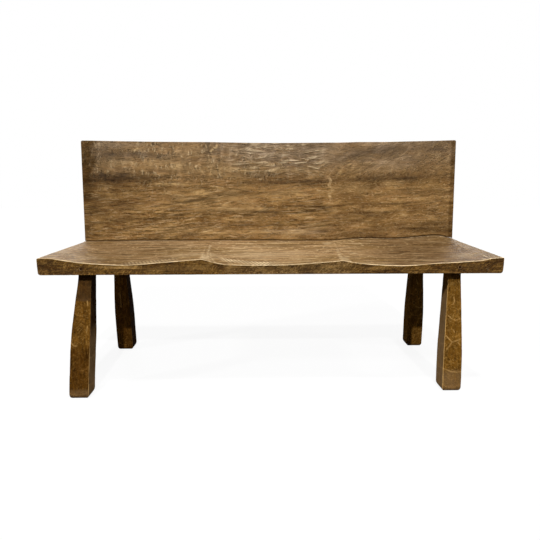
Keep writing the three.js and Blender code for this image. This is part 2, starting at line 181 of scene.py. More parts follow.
# What all the woods share: where a growth ring ends, how rough the noises are, how patches break up marks,
# and how strongly the wax bends light
grain = {
    "ringEnd": 0.97, "layerRoughness": 0.62, "patchDetail": 4.0, "patchRoughness": 0.7,
    "patchSpan": (0.34, 0.62), "patchGain": (-1.0, 0.3), "waxIor": 1.45,
}


# Waxed open-grained hardwood, cut by hand and worn by sitting. The eye finds growth rings that every
# hollow cuts into contour lines, darker heartwood, pale worn edges and a soft wax shine, never even
def carvedHardwood(name, wood):
    material, tree = newMaterial(name)
    place = addNode(tree, "TexCoord").node.outputs["Object"]

    # The grain wanders: a slow noise pushes every finer pattern sideways
    slow = addNode(tree, "VectorMath", {0: place, 1: perMetre(wood["swaySize"])}, operation="MULTIPLY")
    sway = addNode(tree, "TexNoise", {"Vector": slow, "Scale": 1.0, "Detail": 2.0}).node.outputs["Color"]
    sway = addNode(tree, "VectorMath", {0: sway, 1: (0.5, 0.5, 0.5)}, operation="SUBTRACT")
    swayBy = [by * mm for by in wood["swayBy"]]
    swayed = addNode(tree, "VectorMath", {0: sway, 1: swayBy, 2: place}, operation="MULTIPLY_ADD")

    # Growth rings lie in layers, each darkening towards its edge, where the saw and gouge cut through
    rings = wood["rings"]
    layerWay = Vector(rings["way"]).normalized() / (rings["width"] * mm)
    ring = addNode(tree, "VectorMath", {0: swayed, 1: layerWay}, operation="DOT_PRODUCT")
    ring = addNode(tree, "Math", {0: ring}, operation="FRACT")
    span = {"Value": ring, "From Min": rings["from"], "From Max": grain["ringEnd"]}
    ring = addNode(tree, "MapRange", span, interpolation_type="SMOOTHSTEP")
    colour = linear(wood["body"])
    height = 0.0
    for size, slant, detail, low, high, tone, share, lift, where in wood["layers"]:
        turned = {"Vector": swayed, "Angle": math.radians(slant)}
        turned = addNode(tree, "VectorRotate", turned, rotation_type="Y_AXIS")
        spot = addNode(tree, "VectorMath", {0: turned, 1: perMetre(size)}, operation="MULTIPLY")
        speckle = {"Vector": spot, "Scale": 1.0, "Detail": detail, "Roughness": grain["layerRoughness"]}
        value = addNode(tree, "TexNoise", speckle)
        span = {"Value": value, "From Min": low, "From Max": high, "To Max": share}
        value = addNode(tree, "MapRange", span, interpolation_type="SMOOTHSTEP")
        for key in where:
            mask = ring
            if key != "rings":
                mask = addNode(tree, "Attribute", attribute_name=key).node.outputs["Fac"]
            value = addNode(tree, "Math", {0: value, 1: mask}, operation="MULTIPLY")
        mixed = {"Factor": value, "A": colour, "B": linear(tone)}
        colour = addNode(tree, "Mix", mixed, data_type="RGBA")
        height = addNode(tree, "Math", {0: value, 1: lift, 2: height}, operation="MULTIPLY_ADD")

    # What the carving left on the surface, and the painted shade and light laid on it, broken up by a noise
    # of its own
    spot = addNode(tree, "VectorMath", {0: swayed, 1: perMetre(wood["patchSize"])}, operation="MULTIPLY")
    speckle = {"Vector": spot, "Scale": 1.0, "Detail": grain["patchDetail"]}
    patch = addNode(tree, "TexNoise", {**speckle, "Roughness": grain["patchRoughness"]})
    limits = zip(("From Min", "From Max", "To Min", "To Max"), grain["patchSpan"] + grain["patchGain"])
    gaps = addNode(tree, "MapRange", {"Value": patch, **dict(limits)})
    for key, (blend, tone, broken) in wood["marks"].items():
        mark = addNode(tree, "Attribute", attribute_name=key).node.outputs["Fac"]
        kept = addNode(tree, "Math", {0: gaps, 1: broken, 2: 1.0}, operation="MULTIPLY_ADD")
        mark = addNode(tree, "Math", {0: mark, 1: kept}, operation="MULTIPLY", use_clamp=True)
        mixed = {"Factor": mark, "A": colour, "B": linear(tone)}
        colour = addNode(tree, "Mix", mixed, data_type="RGBA", blend_type=blend)

    lifted = {"Strength": wood["reliefShare"], "Distance": wood["relief"] * mm, "Height": height}
    relief = addNode(tree, "Bump", lifted)
    gloss = addNode(tree, "MapRange", {"Value": patch, "To Min": wood["dull"], "To Max": wood["shine"]})
    finish = {"Base Color": colour, "Roughness": gloss, "IOR": grain["waxIor"], "Normal": relief}
    surface = addNode(tree, "BsdfPrincipled", {**finish, "Specular IOR Level": wood["wax"]})
    addNode(tree, "OutputMaterial", {"Surface": surface})
    return material


# Sway: the size of its waves along X, Y and Z and how far they push the grain, in mm. Rings: the way in which
# they are stacked, their width in mm, and from where across it they darken. Patches and relief are in mm too.
# Layers: size along X, Y and Z in mm, how many degrees it slants up to the right, detail, where the noise
# starts and ends, colour, share, how far it stands up, and where it shows: everywhere, on the rings, or where
# marks of those names are. The finest lines are drawn as coarse as they need to show. Marks: how they blend,
# colour, and how broken up they are
seatWood = {
    "swaySize": (360, 110, 60), "swayBy": (30, 30, 10),
    "rings": {"way": (0, 0.13, 1), "width": 6.5, "from": 0.35},
    "body": "#957650",
    "layers": [
        ((300, 120, 60), 0, 2.0, 0.40, 0.60, "#7E6138", 0.75, 0.0, ()),  # broad darker clouds
        ((150, 26, 7), 0, 4.0, 0.46, 0.68, "#C3A77E", 0.6, 1.0, ()),  # pale streaks
        ((230, 60, 30), 0, 3.0, 0.36, 0.56, "#5A4125", 0.7, -1.0, ("rings",)),  # dark ring edges
        ((130, 14, 4.5), 0, 3.0, 0.52, 0.66, "#4E3820", 0.6, -0.6, ()),  # fine dark lines
        ((16, 14, 6), 0, 3.0, 0.54, 0.68, "#D6BA8C", 0.5, 0.8, ()),  # torn flecks
        ((18, 12, 4), 0, 2.0, 0.58, 0.70, "#382614", 0.4, -0.8, ()),  # open pores, drawn coarse
        ((60, 60, 26), 0, 3.0, 0.42, 0.60, "#A18552", 0.45, 0.0, ("chipped",)),  # cut sides: golden clouds
        ((16, 20, 5), 50, 3.0, 0.51, 0.62, "#DCBD8C", 0.65, 1.0, ("chipped",)),  # slanting golden strokes
        ((20, 20, 5), 42, 3.0, 0.50, 0.62, "#463418", 0.6, -1.0, ("chipped",)),  # slanting dark strokes
        ((22, 20, 7), -8, 3.0, 0.52, 0.66, "#4A3616", 0.6, -0.8, ("chipped",)),  # dark chips
        ((7, 9, 6), 0, 2.0, 0.56, 0.68, "#E2C28C", 0.6, 0.8, ("chipped",)),  # pale specks
    ],
    "patchSize": (60, 24, 9),
    "marks": {
        "stain": ("MULTIPLY", "#BCA570", 0.1), "golden": ("MIX", "#C29A5C", 0.7),
        "figure": ("MULTIPLY", "#A3998A", 0.3), "haze": ("MIX", "#BFA680", 0.5),
        "grime": ("MULTIPLY", "#745C34", 0.5), "wear": ("MIX", "#EFD3A6", 0.6),
    },
    "relief": 1.7, "reliefShare": 0.8, "dull": 0.66, "shine": 0.42, "wax": 0.07,
}
backWood = {
    "swaySize": (190, 60, 64), "swayBy": (34, 9, 40),
    "rings": {"way": (0, 1, 0.17), "width": 4.6, "from": 0.3},
    "body": "#9A7446",
    "layers": [
        ((330, 80, 90), 0, 2.0, 0.40, 0.60, "#7A582E", 0.8, 0.0, ()),  # broad darker clouds
        ((70, 40, 34), 0, 3.0, 0.42, 0.60, "#A17D4C", 0.7, 0.4, ()),  # golden patches
        ((90, 30, 10), 0, 4.0, 0.48, 0.66, "#B8935C", 0.5, 0.8, ("lined",)),  # pale streaks
        ((210, 60, 40), 0, 3.0, 0.38, 0.60, "#523811", 0.6, -1.0, ("rings", "lined")),  # dark ring edges
        ((50, 30, 5), 4, 3.0, 0.54, 0.63, "#CFB084", 0.45, 1.0, ("lined",)),  # torn pale strokes
        ((60, 30, 5), 5, 3.0, 0.56, 0.65, "#402906", 0.55, -1.2, ("lined",)),  # thin dark cuts
        ((30, 30, 12), 0, 3.0, 0.50, 0.62, "#553C1A", 0.8, -0.8, ("crosswise",)),  # smudges
        ((9, 30, 26), -8, 2.0, 0.53, 0.63, "#D6BA90", 0.85, 1.3, ("crosswise",)),  # thin upright tool strokes
        ((9, 30, 30), 6, 2.0, 0.55, 0.66, "#3A2814", 0.75, -1.3, ("crosswise",)),  # their dark sides
        ((55, 30, 9), 2, 3.0, 0.51, 0.58, "#E6CFAA", 0.95, 1.4, ("rippled",)),  # pale ripples
        ((55, 30, 9), 2, 3.0, 0.48, 0.41, "#544030", 0.85, -1.4, ("rippled",)),  # the dips between them
        ((34, 30, 6), 32, 3.0, 0.54, 0.64, "#CDA970", 0.5, 1.0, ("feathered",)),  # slanting pale strokes
        ((34, 30, 6), 26, 3.0, 0.54, 0.66, "#442D0C", 0.5, -1.0, ("feathered",)),  # slanting dark strokes
        ((10, 20, 5), 0, 2.0, 0.54, 0.68, "#CFAE7E", 0.4, 0.8, ()),  # torn flecks
        ((12, 12, 4.5), 0, 2.0, 0.55, 0.68, "#332006", 0.45, -1.0, ()),  # open pores, drawn coarse
    ],
    "patchSize": (55, 24, 14),
    "marks": {
        "stain": ("MULTIPLY", "#8A7150", 0.2), "figure": ("MULTIPLY", "#756852", 0.2),
        "golden": ("MIX", "#D0AC76", 0.4), "haze": ("MIX", "#BFA688", 0.4),
        "grime": ("MULTIPLY", "#8A7A50", 0.2), "wear": ("MIX", "#DDBB87", 0.6),
    },
    "relief": 2.0, "reliefShare": 0.9, "dull": 0.64, "shine": 0.42, "wax": 0.05,
}
legWood = {
    "swaySize": (60, 60, 240), "swayBy": (10, 10, 20),
    "rings": {"way": (1, 0.5, 0.02), "width": 9, "from": 0.4},
    "body": "#7B541C",
    "layers": [
        ((34, 34, 60), 0, 3.0, 0.38, 0.62, "#5E4014", 0.7, 0.0, ()),  # broad darker clouds
        ((14, 14, 34), 0, 4.0, 0.46, 0.64, "#94682A", 0.5, 0.8, ()),  # pale streaks
        ((40, 40, 160), 0, 3.0, 0.4, 0.6, "#40290A", 0.35, -1.0, ("rings",)),  # dark ring edges
        ((7, 7, 40), 0, 3.0, 0.53, 0.66, "#3E280A", 0.5, -0.8, ()),  # fine dark lines
        ((18, 14, 4), 36, 3.0, 0.56, 0.66, "#B08848", 0.45, 0.8, ()),  # slanting pale scratches
        ((18, 14, 4), -40, 3.0, 0.56, 0.66, "#A67E40", 0.4, 0.8, ()),  # and across them
        ((7, 7, 7), 0, 2.0, 0.55, 0.68, "#B48C4C", 0.4, 0.8, ()),  # torn flecks
        ((6, 6, 9), 0, 2.0, 0.56, 0.68, "#2A1805", 0.45, -0.9, ()),  # open pores, drawn coarse
    ],
    "patchSize": (18, 18, 40),
    "marks": {
        "stain": ("MULTIPLY", "#6E5534", 0.2), "figure": ("MULTIPLY", "#8A7655", 0.5),
        "haze": ("MIX", "#826746", 0.4), "grime": ("MULTIPLY", "#5C4729", 0.3),
        "wear": ("MIX", "#D2A562", 0.6),
    },
    "relief": 1.2, "reliefShare": 0.8, "dull": 0.9, "shine": 0.75, "wax": 0.01,
}
pegWood = {
    "swaySize": (30, 60, 30), "swayBy": (1, 3, 1),
    "rings": {"way": (1, 0, 0.4), "width": 1.6, "from": 0.4},
    "body": "#321D0C",
    "layers": [
        ((5, 20, 5), 0, 3.0, 0.4, 0.62, "#42290F", 0.6, 0.5, ()),  # paler patches
        ((9, 60, 9), 0, 2.0, 0.36, 0.6, "#201208", 0.7, -0.6, ("rings",)),  # dark rings on the cut end
    ],
    "patchSize": (4, 12, 4),
    "marks": {},
    "relief": 0.3, "reliefShare": 0.6, "dull": 0.9, "shine": 0.75, "wax": 0.02,
}
tenonWood = {
    "swaySize": (40, 30, 120), "swayBy": (2, 2, 6),
    "rings": {"way": (0.5, 1, 0.03), "width": 3.2, "from": 0.45},
    "body": "#A98A60",
    "layers": [
        ((20, 20, 120), 0, 3.0, 0.4, 0.62, "#C4A679", 0.6, 0.4, ()),  # pale streaks
        ((30, 30, 200), 0, 2.0, 0.36, 0.6, "#86683F", 0.6, -0.5, ("rings",)),  # ring edges
        ((1.2, 1.2, 12), 0, 2.0, 0.56, 0.7, "#6B4E2C", 0.5, -0.8, ()),  # short pores
    ],
    "patchSize": (12, 12, 40),
    "marks": {},
    "relief": 0.1, "reliefShare": 0.5, "dull": 0.8, "shine": 0.6, "wax": 0.2,
}


# Zinc-plated mild steel, pressed and plated in a barrel: pale and faintly blue, with cloudy dull patches
def zincPlatedSteel(name, steel):
    material, tree = newMaterial(name)
    place = addNode(tree, "TexCoord").node.outputs["Object"]
    spot = addNode(tree, "VectorMath", {0: place, 1: perMetre([steel["cloud"]] * 3)}, operation="MULTIPLY")
    cloud = addNode(tree, "TexNoise", {"Vector": spot, "Scale": 1.0, "Detail": 4.0})
    spot = addNode(tree, "VectorMath", {0: place, 1: perMetre([steel["grit"]] * 3)}, operation="MULTIPLY")
    grit = addNode(tree, "TexNoise", {"Vector": spot, "Scale": 1.0, "Detail": 2.0})
    span = {"Value": cloud, "From Min": 0.35, "From Max": 0.65}
    share = addNode(tree, "MapRange", span)
    tones = {"Factor": share, "A": linear(steel["dark"]), "B": linear(steel["pale"])}
    colour = addNode(tree, "Mix", tones, data_type="RGBA")
    rough = addNode(tree, "MapRange", {**span, "To Min": steel["dull"], "To Max": steel["shine"]})
    lifted = {"Strength": steel["reliefShare"], "Distance": steel["relief"] * mm, "Height": grit}
    relief = addNode(tree, "Bump", lifted)
    finish = {"Base Color": colour, "Roughness": rough, "Metallic": 1.0, "Normal": relief}
    addNode(tree, "OutputMaterial", {"Surface": addNode(tree, "BsdfPrincipled", finish)})
    return material


# Sizes of the cloudy patches, the plating's grit and its relief in mm, drawn coarser than the real grit
screwSteel = {
    "cloud": 4, "grit": 0.5, "relief": 0.05, "reliefShare": 0.3,
    "dark": "#9A9EA0", "pale": "#C3C7C9", "dull": 0.5, "shine": 0.32,
}
washerSteel = {
    "cloud": 6, "grit": 0.7, "relief": 0.05, "reliefShare": 0.3,
    "dark": "#A4A8AA", "pale": "#CDD0D1", "dull": 0.46, "shine": 0.28,
}


# Carved solids. A block's grid lines crowd at its ends, so that its rounded edges are round
def gridLines(length, step, radius):
    arc = radius * (1 - np.tan(np.radians([45, 30, 15])))
    inner = np.linspace(radius, length - radius, max(1, round((length - 2 * radius) / step)) + 1)
    return np.concatenate([arc, inner, (length - arc)[::-1]])


def blockSkin(lines, radius):
    # Closed skin of a block with rounded edges: its grid places, its points and its faces
    counts = [len(line) for line in lines]
    quads = []
    for axis in range(3):
        across, up = (axis + 1) % 3, (axis + 2) % 3
        i, j = np.meshgrid(np.arange(counts[across] - 1), np.arange(counts[up] - 1), indexing="ij")
        for end in (0, counts[axis] - 1):
            corners = []
            for di, dj in ((0, 0), (1, 0), (1, 1), (0, 1)):
                index = [None] * 3
                index[axis] = np.full(i.shape, end)
                index[across] = i + di
                index[up] = j + dj
                corners.append((index[0] * counts[1] + index[1]) * counts[2] + index[2])
            quad = np.stack(corners, -1).reshape(-1, 4)
            quads.append(quad if end else quad[:, ::-1])
    ids, quads = np.unique(np.concatenate(quads), return_inverse=True)
    grid = np.stack([ids // (counts[1] * counts[2]), ids // counts[2] % counts[1], ids % counts[2]], -1)
    sharp = np.stack([lines[axis][grid[:, axis]] for axis in range(3)], -1)
    size = np.array([line[-1] for line in lines])
    core = np.clip(sharp, radius, size - radius)
    out = sharp - core
    reach = np.maximum(np.linalg.norm(out, axis=1, keepdims=True), 1e-9)
    return {"grid": grid, "sharp": sharp, "size": size, "points": core + radius * out / reach,
            "quads": quads.reshape(-1, 4)}


def facesOf(skin):
    # Which side each point is on, whether that is the far one, and how far its nearest edge is
    gaps = np.minimum(skin["sharp"], skin["size"] - skin["sharp"])
    axis = gaps.argmin(1)
    far = np.take_along_axis(skin["sharp"], axis[:, None], 1)[:, 0] > skin["size"][axis] / 2
    edge = np.sort(gaps, axis=1)[:, 1]
    return axis, far, edge


def normalsOf(points, quads):
    a, b, c, d = (points[quads[:, k]] for k in range(4))
    faceNormal = np.cross(c - a, d - b)
    total = np.zeros_like(points)
    for k in range(4):
        for axis in range(3):
            total[:, axis] += np.bincount(quads[:, k], faceNormal[:, axis], len(points))
    return total / np.maximum(np.linalg.norm(total, axis=1, keepdims=True), 1e-12)


def blurMatrix(places, reach):
    away = places[:, None] - places[None, :]
    weight = np.exp(-0.5 * (away / reach) ** 2) * np.gradient(places)[None, :]
    return weight / weight.sum(1, keepdims=True)


def softened(heights, xs, ys, reach, keep):
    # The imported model's facets melt away, but its crests stay as crisp as they were carved
    crestFrom, crestGain, fine = 0.3, 1.6, reach / 3
    smooth = blurMatrix(xs, reach) @ heights @ blurMatrix(ys, reach).T
    crest = np.clip((np.abs(heights - smooth) / keep - crestFrom) / (1 - crestFrom), 0, 1)
    crest = crestGain * blurMatrix(xs, fine) @ crest @ blurMatrix(ys, fine).T
    return smooth + (heights - smooth) * softStep(crest, 0, 1)


def stretched(level, tall, radius, bottom, height):
    # A block's levels, stretched to a bottom and a height for each point, without changing its rounded edges
    middle = np.clip((level - radius) / (tall - 2 * radius), 0, 1)
    upper = np.maximum(level - (tall - radius), 0)
    return bottom + np.minimum(level, radius) + middle * (height - 2 * radius) + upper


def quarterRound(share):
    # How far a rounded edge has turned in, from 0 where it starts to 1 where it ends
    return 1 - np.sqrt(1 - share ** 2)


# A cut is its length, its width, how far apart cuts lie as a share of those, its slant and turn in degrees,
# its depth and its seed. Its random values come round again only after so many cuts along and across, its
# dishes vary in size and depth, and each point looks at those that lie up to so many places away
dishes = {"table": (97, 89), "size": (0.7, 0.5), "deep": (0.45, 0.55), "reach": 2}


def gougeDepth(u, v, cut):
    # Overlapping shallow dishes, as a gouge or adze leaves them: at each place the deepest cut wins
    long, wide, apart, slant, turnBy, deepest, seed = cut
    long, wide = long * mm, wide * mm
    pitchU, pitchV = long * apart, wide * apart
    column = np.floor(u / pitchU).astype(int)
    row = np.floor(v / pitchV).astype(int)
    columns, rows = dishes["table"]
    leastSize, moreSize = dishes["size"]
    leastDeep, moreDeep = dishes["deep"]
    table = np.random.default_rng(seed).random((6, columns, rows))
    near = range(-dishes["reach"], dishes["reach"] + 1)
    depth = np.zeros(len(u))
    for a, b in ((column + du, row + dv) for du in near for dv in near):
        shiftU, shiftV, turn, deep, size, side = table[:, a % columns, b % rows]
        p = u - (a + shiftU) * pitchU
        q = v - (b + shiftV) * pitchV
        angle = np.radians(slant + turnBy * (2 * turn - 1))
        along = (p * np.cos(angle) + q * np.sin(angle)) / (long * (leastSize + moreSize * size))
        across = (q * np.cos(angle) - p * np.sin(angle)) / (wide * (leastSize + moreSize * side))
        depth = np.maximum(depth, (leastDeep + moreDeep * deep) * (1 - along * along - across * across))
    return deepest * depth


def gouged(faces):
    # Tool marks on some faces: which points are on each, the two directions on it, and its cut
    depth = np.zeros(len(faces[0][0]))
    for chosen, u, v, cut in faces:
        depth[chosen] = gougeDepth(u[chosen], v[chosen], cut)
    return depth


def noiseAt(points, size):
    # Smooth noise from -1 to 1 at points, with hills of that size in mm along X, Y and Z
    spots = points / (np.array(size) * mm)
    return np.array([noise.noise(spot) for spot in spots.tolist()])


def softStep(value, low, high):
    share = np.clip((value - low) / (high - low), 0, 1)
    return share * share * (3 - 2 * share)


def bump(value, low, high, soft):
    # 1 between two places and 0 outside them, with soft sides
    return softStep(value, low - soft, low + soft) * (1 - softStep(value, high - soft, high + soft))


def wornEdges(points, edge, piece):
    # Rough patches, nicks, how near a worn edge each point is, and how deep the wear goes there
    rough = noiseAt(points, piece["roughSize"])
    nick = softStep(noiseAt(points, piece["nickSize"]), *piece["nickSpan"])
    worn = 1 - softStep(edge, 0, piece["wearReach"] * mm)
    wave, least, byRough, byNick = piece["edgeWave"]
    return rough, nick, worn, worn * wave * (least + byRough * rough + byNick * nick)


def lenses(x, y, table):
    # Soft lens shapes, in mm: middle x, y, half length, half width, rise in mm a metre, and strength
    total = np.zeros(len(x))
    for midX, midY, halfLong, halfWide, rise, strength in table:
        along = (x - midX) / halfLong
        across = (y - midY - (x - midX) * rise * mm) / halfWide
        total = np.maximum(total, strength * np.exp(-(along ** 4) - across * across))
    return total


def scratchMarks(x, y, lines, width):
    # Thin scratches, in mm, through lists of points
    total = np.zeros(len(x))
    for line in lines:
        for (fromX, fromY), (toX, toY) in zip(line, line[1:]):
            wayX, wayY = toX - fromX, toY - fromY
            share = ((x - fromX) * wayX + (y - fromY) * wayY) / (wayX ** 2 + wayY ** 2)
            share = np.clip(share, 0, 1)
            away = np.hypot(x - fromX - share * wayX, y - fromY - share * wayY)
            total = np.maximum(total, np.exp(-((away / width) ** 2)))
    return total


def titled(node):
    return "".join(word if i == 0 else word.capitalize() for i, word in enumerate(node.split("_")))


def meshOf(name, points, faces, marks=None):
    mesh = bpy.data.meshes.new(name)
    mesh.from_pydata(np.asarray(points).tolist(), [], faces)
    for key, values in (marks or {}).items():
        mesh.attributes.new(key, "FLOAT", "POINT").data.foreach_set("value", np.clip(values, 0, 1))
    mesh.shade_smooth()
    return mesh


def addPiece(node, points, faces, material, marks=None):
    mesh = meshOf(titled(node), points, faces, marks)
    mesh.materials.append(material)
    piece = bpy.data.objects.new(titled(node), mesh)
    bpy.context.scene.collection.objects.link(piece)
    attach(piece, "root")
    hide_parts(node)
    return piece


# Joinery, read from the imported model, to be cut into the carved pieces. Sizes in mm, the angle in degrees
joinery = {
    "clearance": 0.3, "overrun": 8, "barSides": 40, "sharpAngle": 38,
    "screwHole": 8.6, "counterbore": 27, "counterboreDepth": 16, "holeShade": 0.8,
}


def nodePoints(node, turn=Matrix.Identity(3)):
    return np.array([turn @ corner.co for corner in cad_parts[node].data.vertices])


def extentOf(node, turn):
    points = nodePoints(node, turn)
    return points.min(0), points.max(0)


def nodeTree(node, turn=Matrix.Identity(3)):
    faces = [tuple(face.vertices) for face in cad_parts[node].data.polygons]
    return BVHTree.FromPolygons(nodePoints(node, turn).tolist(), faces)


def reach(tree, start, way, axis):
    hit = tree.ray_cast(Vector(start), Vector(way))[0]
    return hit[axis] if hit else math.nan


def plankTurn():
    # Turns the bench about X so that the leaning plank stands upright, from its packed rear face
    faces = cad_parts["back_plank"].data.polygons
    rear = sum((face.normal * face.area for face in faces if face.normal.y > 0.9), Vector())
    return Matrix.Rotation(math.atan2(-rear.z, rear.y), 3, "X")


def latheSkin(heights, radii, closed=False):
    # A skin round the Z axis, with one ring of radii for each height, and capped unless it closes on itself
    rows, count = radii.shape
    angle = np.arange(count) * 2 * math.pi / count
    level = np.repeat(np.asarray(heights, float)[:, None], count, 1)
    points = np.stack([radii * np.cos(angle), radii * np.sin(angle), level], -1).reshape(-1, 3)
    row, k = np.meshgrid(np.arange(rows if closed else rows - 1), np.arange(count), indexing="ij")
    here, after = row * count + k, row * count + (k + 1) % count
    upper = (here + count) % len(points), (after + count) % len(points)
    faces = np.stack([here, after, upper[1], upper[0]], -1).reshape(-1, 4).tolist()
    if not closed:
        faces += [list(range(count))[::-1], list(range(len(points) - count, len(points)))]
    return points, faces


def roundBar(start, end, diameter):
    way = Vector(end) - Vector(start)
    points, faces = latheSkin([0, way.length], np.full((2, joinery["barSides"]), diameter / 2))
    turn = np.array(way.to_track_quat("Z", "Y").to_matrix())
    return points @ turn.T + np.array(start), faces


def merged(parts):
    points, faces = [], []
    for somePoints, someFaces in parts:
        faces += [[len(points) + corner for corner in face] for face in someFaces]
        points += somePoints.tolist()
    return points, faces


def combine(piece, parts, operation):
    # Cuts parts out of a piece, or joins them to it, and keeps the edges that this makes sharp. If one part's
    # skin isn't closed, the solver refuses all of them, prints a warning and leaves the piece as it was
    points, faces = merged(parts)
    # The walls the cut leaves get painted shade and stain, as dark as the inside of a hole
    shade = np.full(len(points), joinery["holeShade"])
    tool = bpy.data.objects.new("tool", meshOf("tool", points, faces, {"grime": shade, "stain": shade}))
    bpy.context.scene.collection.objects.link(tool)
    modifier = piece.modifiers.new("joinery", "BOOLEAN")
    modifier.solver = "MANIFOLD"
    modifier.operation = operation
    modifier.object = tool
    joined = piece.evaluated_get(bpy.context.evaluated_depsgraph_get())
    piece.data = bpy.data.meshes.new_from_object(joined)
    piece.modifiers.clear()
    piece.data.set_sharp_from_angle(angle=math.radians(joinery["sharpAngle"]))
    bpy.data.objects.remove(tool)


def legAxisOf(leg):
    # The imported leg's neck, its way up, and the length and diameter of its round tenon
    points = nodePoints(leg)
    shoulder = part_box("seat_slab")[0].z - joinery["clearance"] * mm
    sole = points[points[:, zAxis] < 1 * mm].mean(0)
    neck = points[np.abs(points[:, zAxis] - shoulder) < 1 * mm]
    neck = (neck.min(0) + neck.max(0)) / 2
    way = (neck - sole) / np.linalg.norm(neck - sole)
    tenon = points[points[:, zAxis] > shoulder + 3 * mm] - neck
    along = tenon @ way
    away = np.linalg.norm(tenon - along[:, None] * way, axis=1)
    return {"sole": sole, "neck": neck, "way": way, "length": along.max(), "diameter": 2 * away.max()}


def tenonBar(leg, extra):
    axis = legAxisOf(leg)
    start = axis["neck"] - axis["way"] * joinery["overrun"] * mm
    end = axis["neck"] + axis["way"] * (axis["length"] + extra)
    return roundBar(start, end, axis["diameter"] + 2 * extra)


def pegHole(peg):
    # From outside the slab's nearest long edge to just past the peg's inner end
    low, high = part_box(peg)
    middle = (low + high) / 2
    outward = math.copysign(1, middle.y)
    mouth = (high if outward > 0 else low).y + outward * joinery["overrun"] * mm
    end = (low if outward > 0 else high).y - outward * joinery["clearance"] * mm
    diameter = high.x - low.x + 2 * joinery["clearance"] * mm
    return roundBar((middle.x, mouth, middle.z), (middle.x, end, middle.z), diameter)


def swollen(node, turn):
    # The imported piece, larger by the clearance on every side, square to the leaning plank. Known fault: its
    # packed faces share no points, so this skin isn't closed, and the solver refuses any cut that holds it
    points = nodePoints(node, turn)
    low, high = points.min(0), points.max(0)
    middle = (low + high) / 2
    grown = middle + (points - middle) * (1 + 2 * joinery["clearance"] * mm / (high - low))
    faces = [list(face.vertices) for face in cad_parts[node].data.polygons]
    return grown @ np.array(turn), faces


def screwBars(screw, washer, turn):
    # The screw's clearance hole, and the counterbore that takes its head and washer
    low, high = extentOf(screw, turn)
    x, y = (low + high)[:2] / 2
    clearance, overrun = joinery["clearance"] * mm, joinery["overrun"] * mm
    ceiling = extentOf(washer, turn)[1][2] + clearance
    holes = [
        (ceiling - overrun / 2, high[2] + 2 * clearance, joinery["screwHole"]),
        (ceiling - joinery["counterboreDepth"] * mm - overrun, ceiling, joinery["counterbore"]),
    ]
    upright = turn.inverted()
    return [
        roundBar(upright @ Vector((x, y, bottom)), upright @ Vector((x, y, top)), diameter * mm)
        for bottom, top, diameter in holes
    ]


nodes = sorted(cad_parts)
pegs = [node for node in nodes if node.startswith("leg_peg")]
legNodes = [node for node in nodes if node.startswith("leg_") and node not in pegs]
slipTenons = [node for node in nodes if node.startswith("slip_tenon")]
screws = [node for node in nodes if node.startswith("coach_screw")]
screwPairs = [(screw, screw.replace("coach_screw", "screw_washer")) for screw in screws]


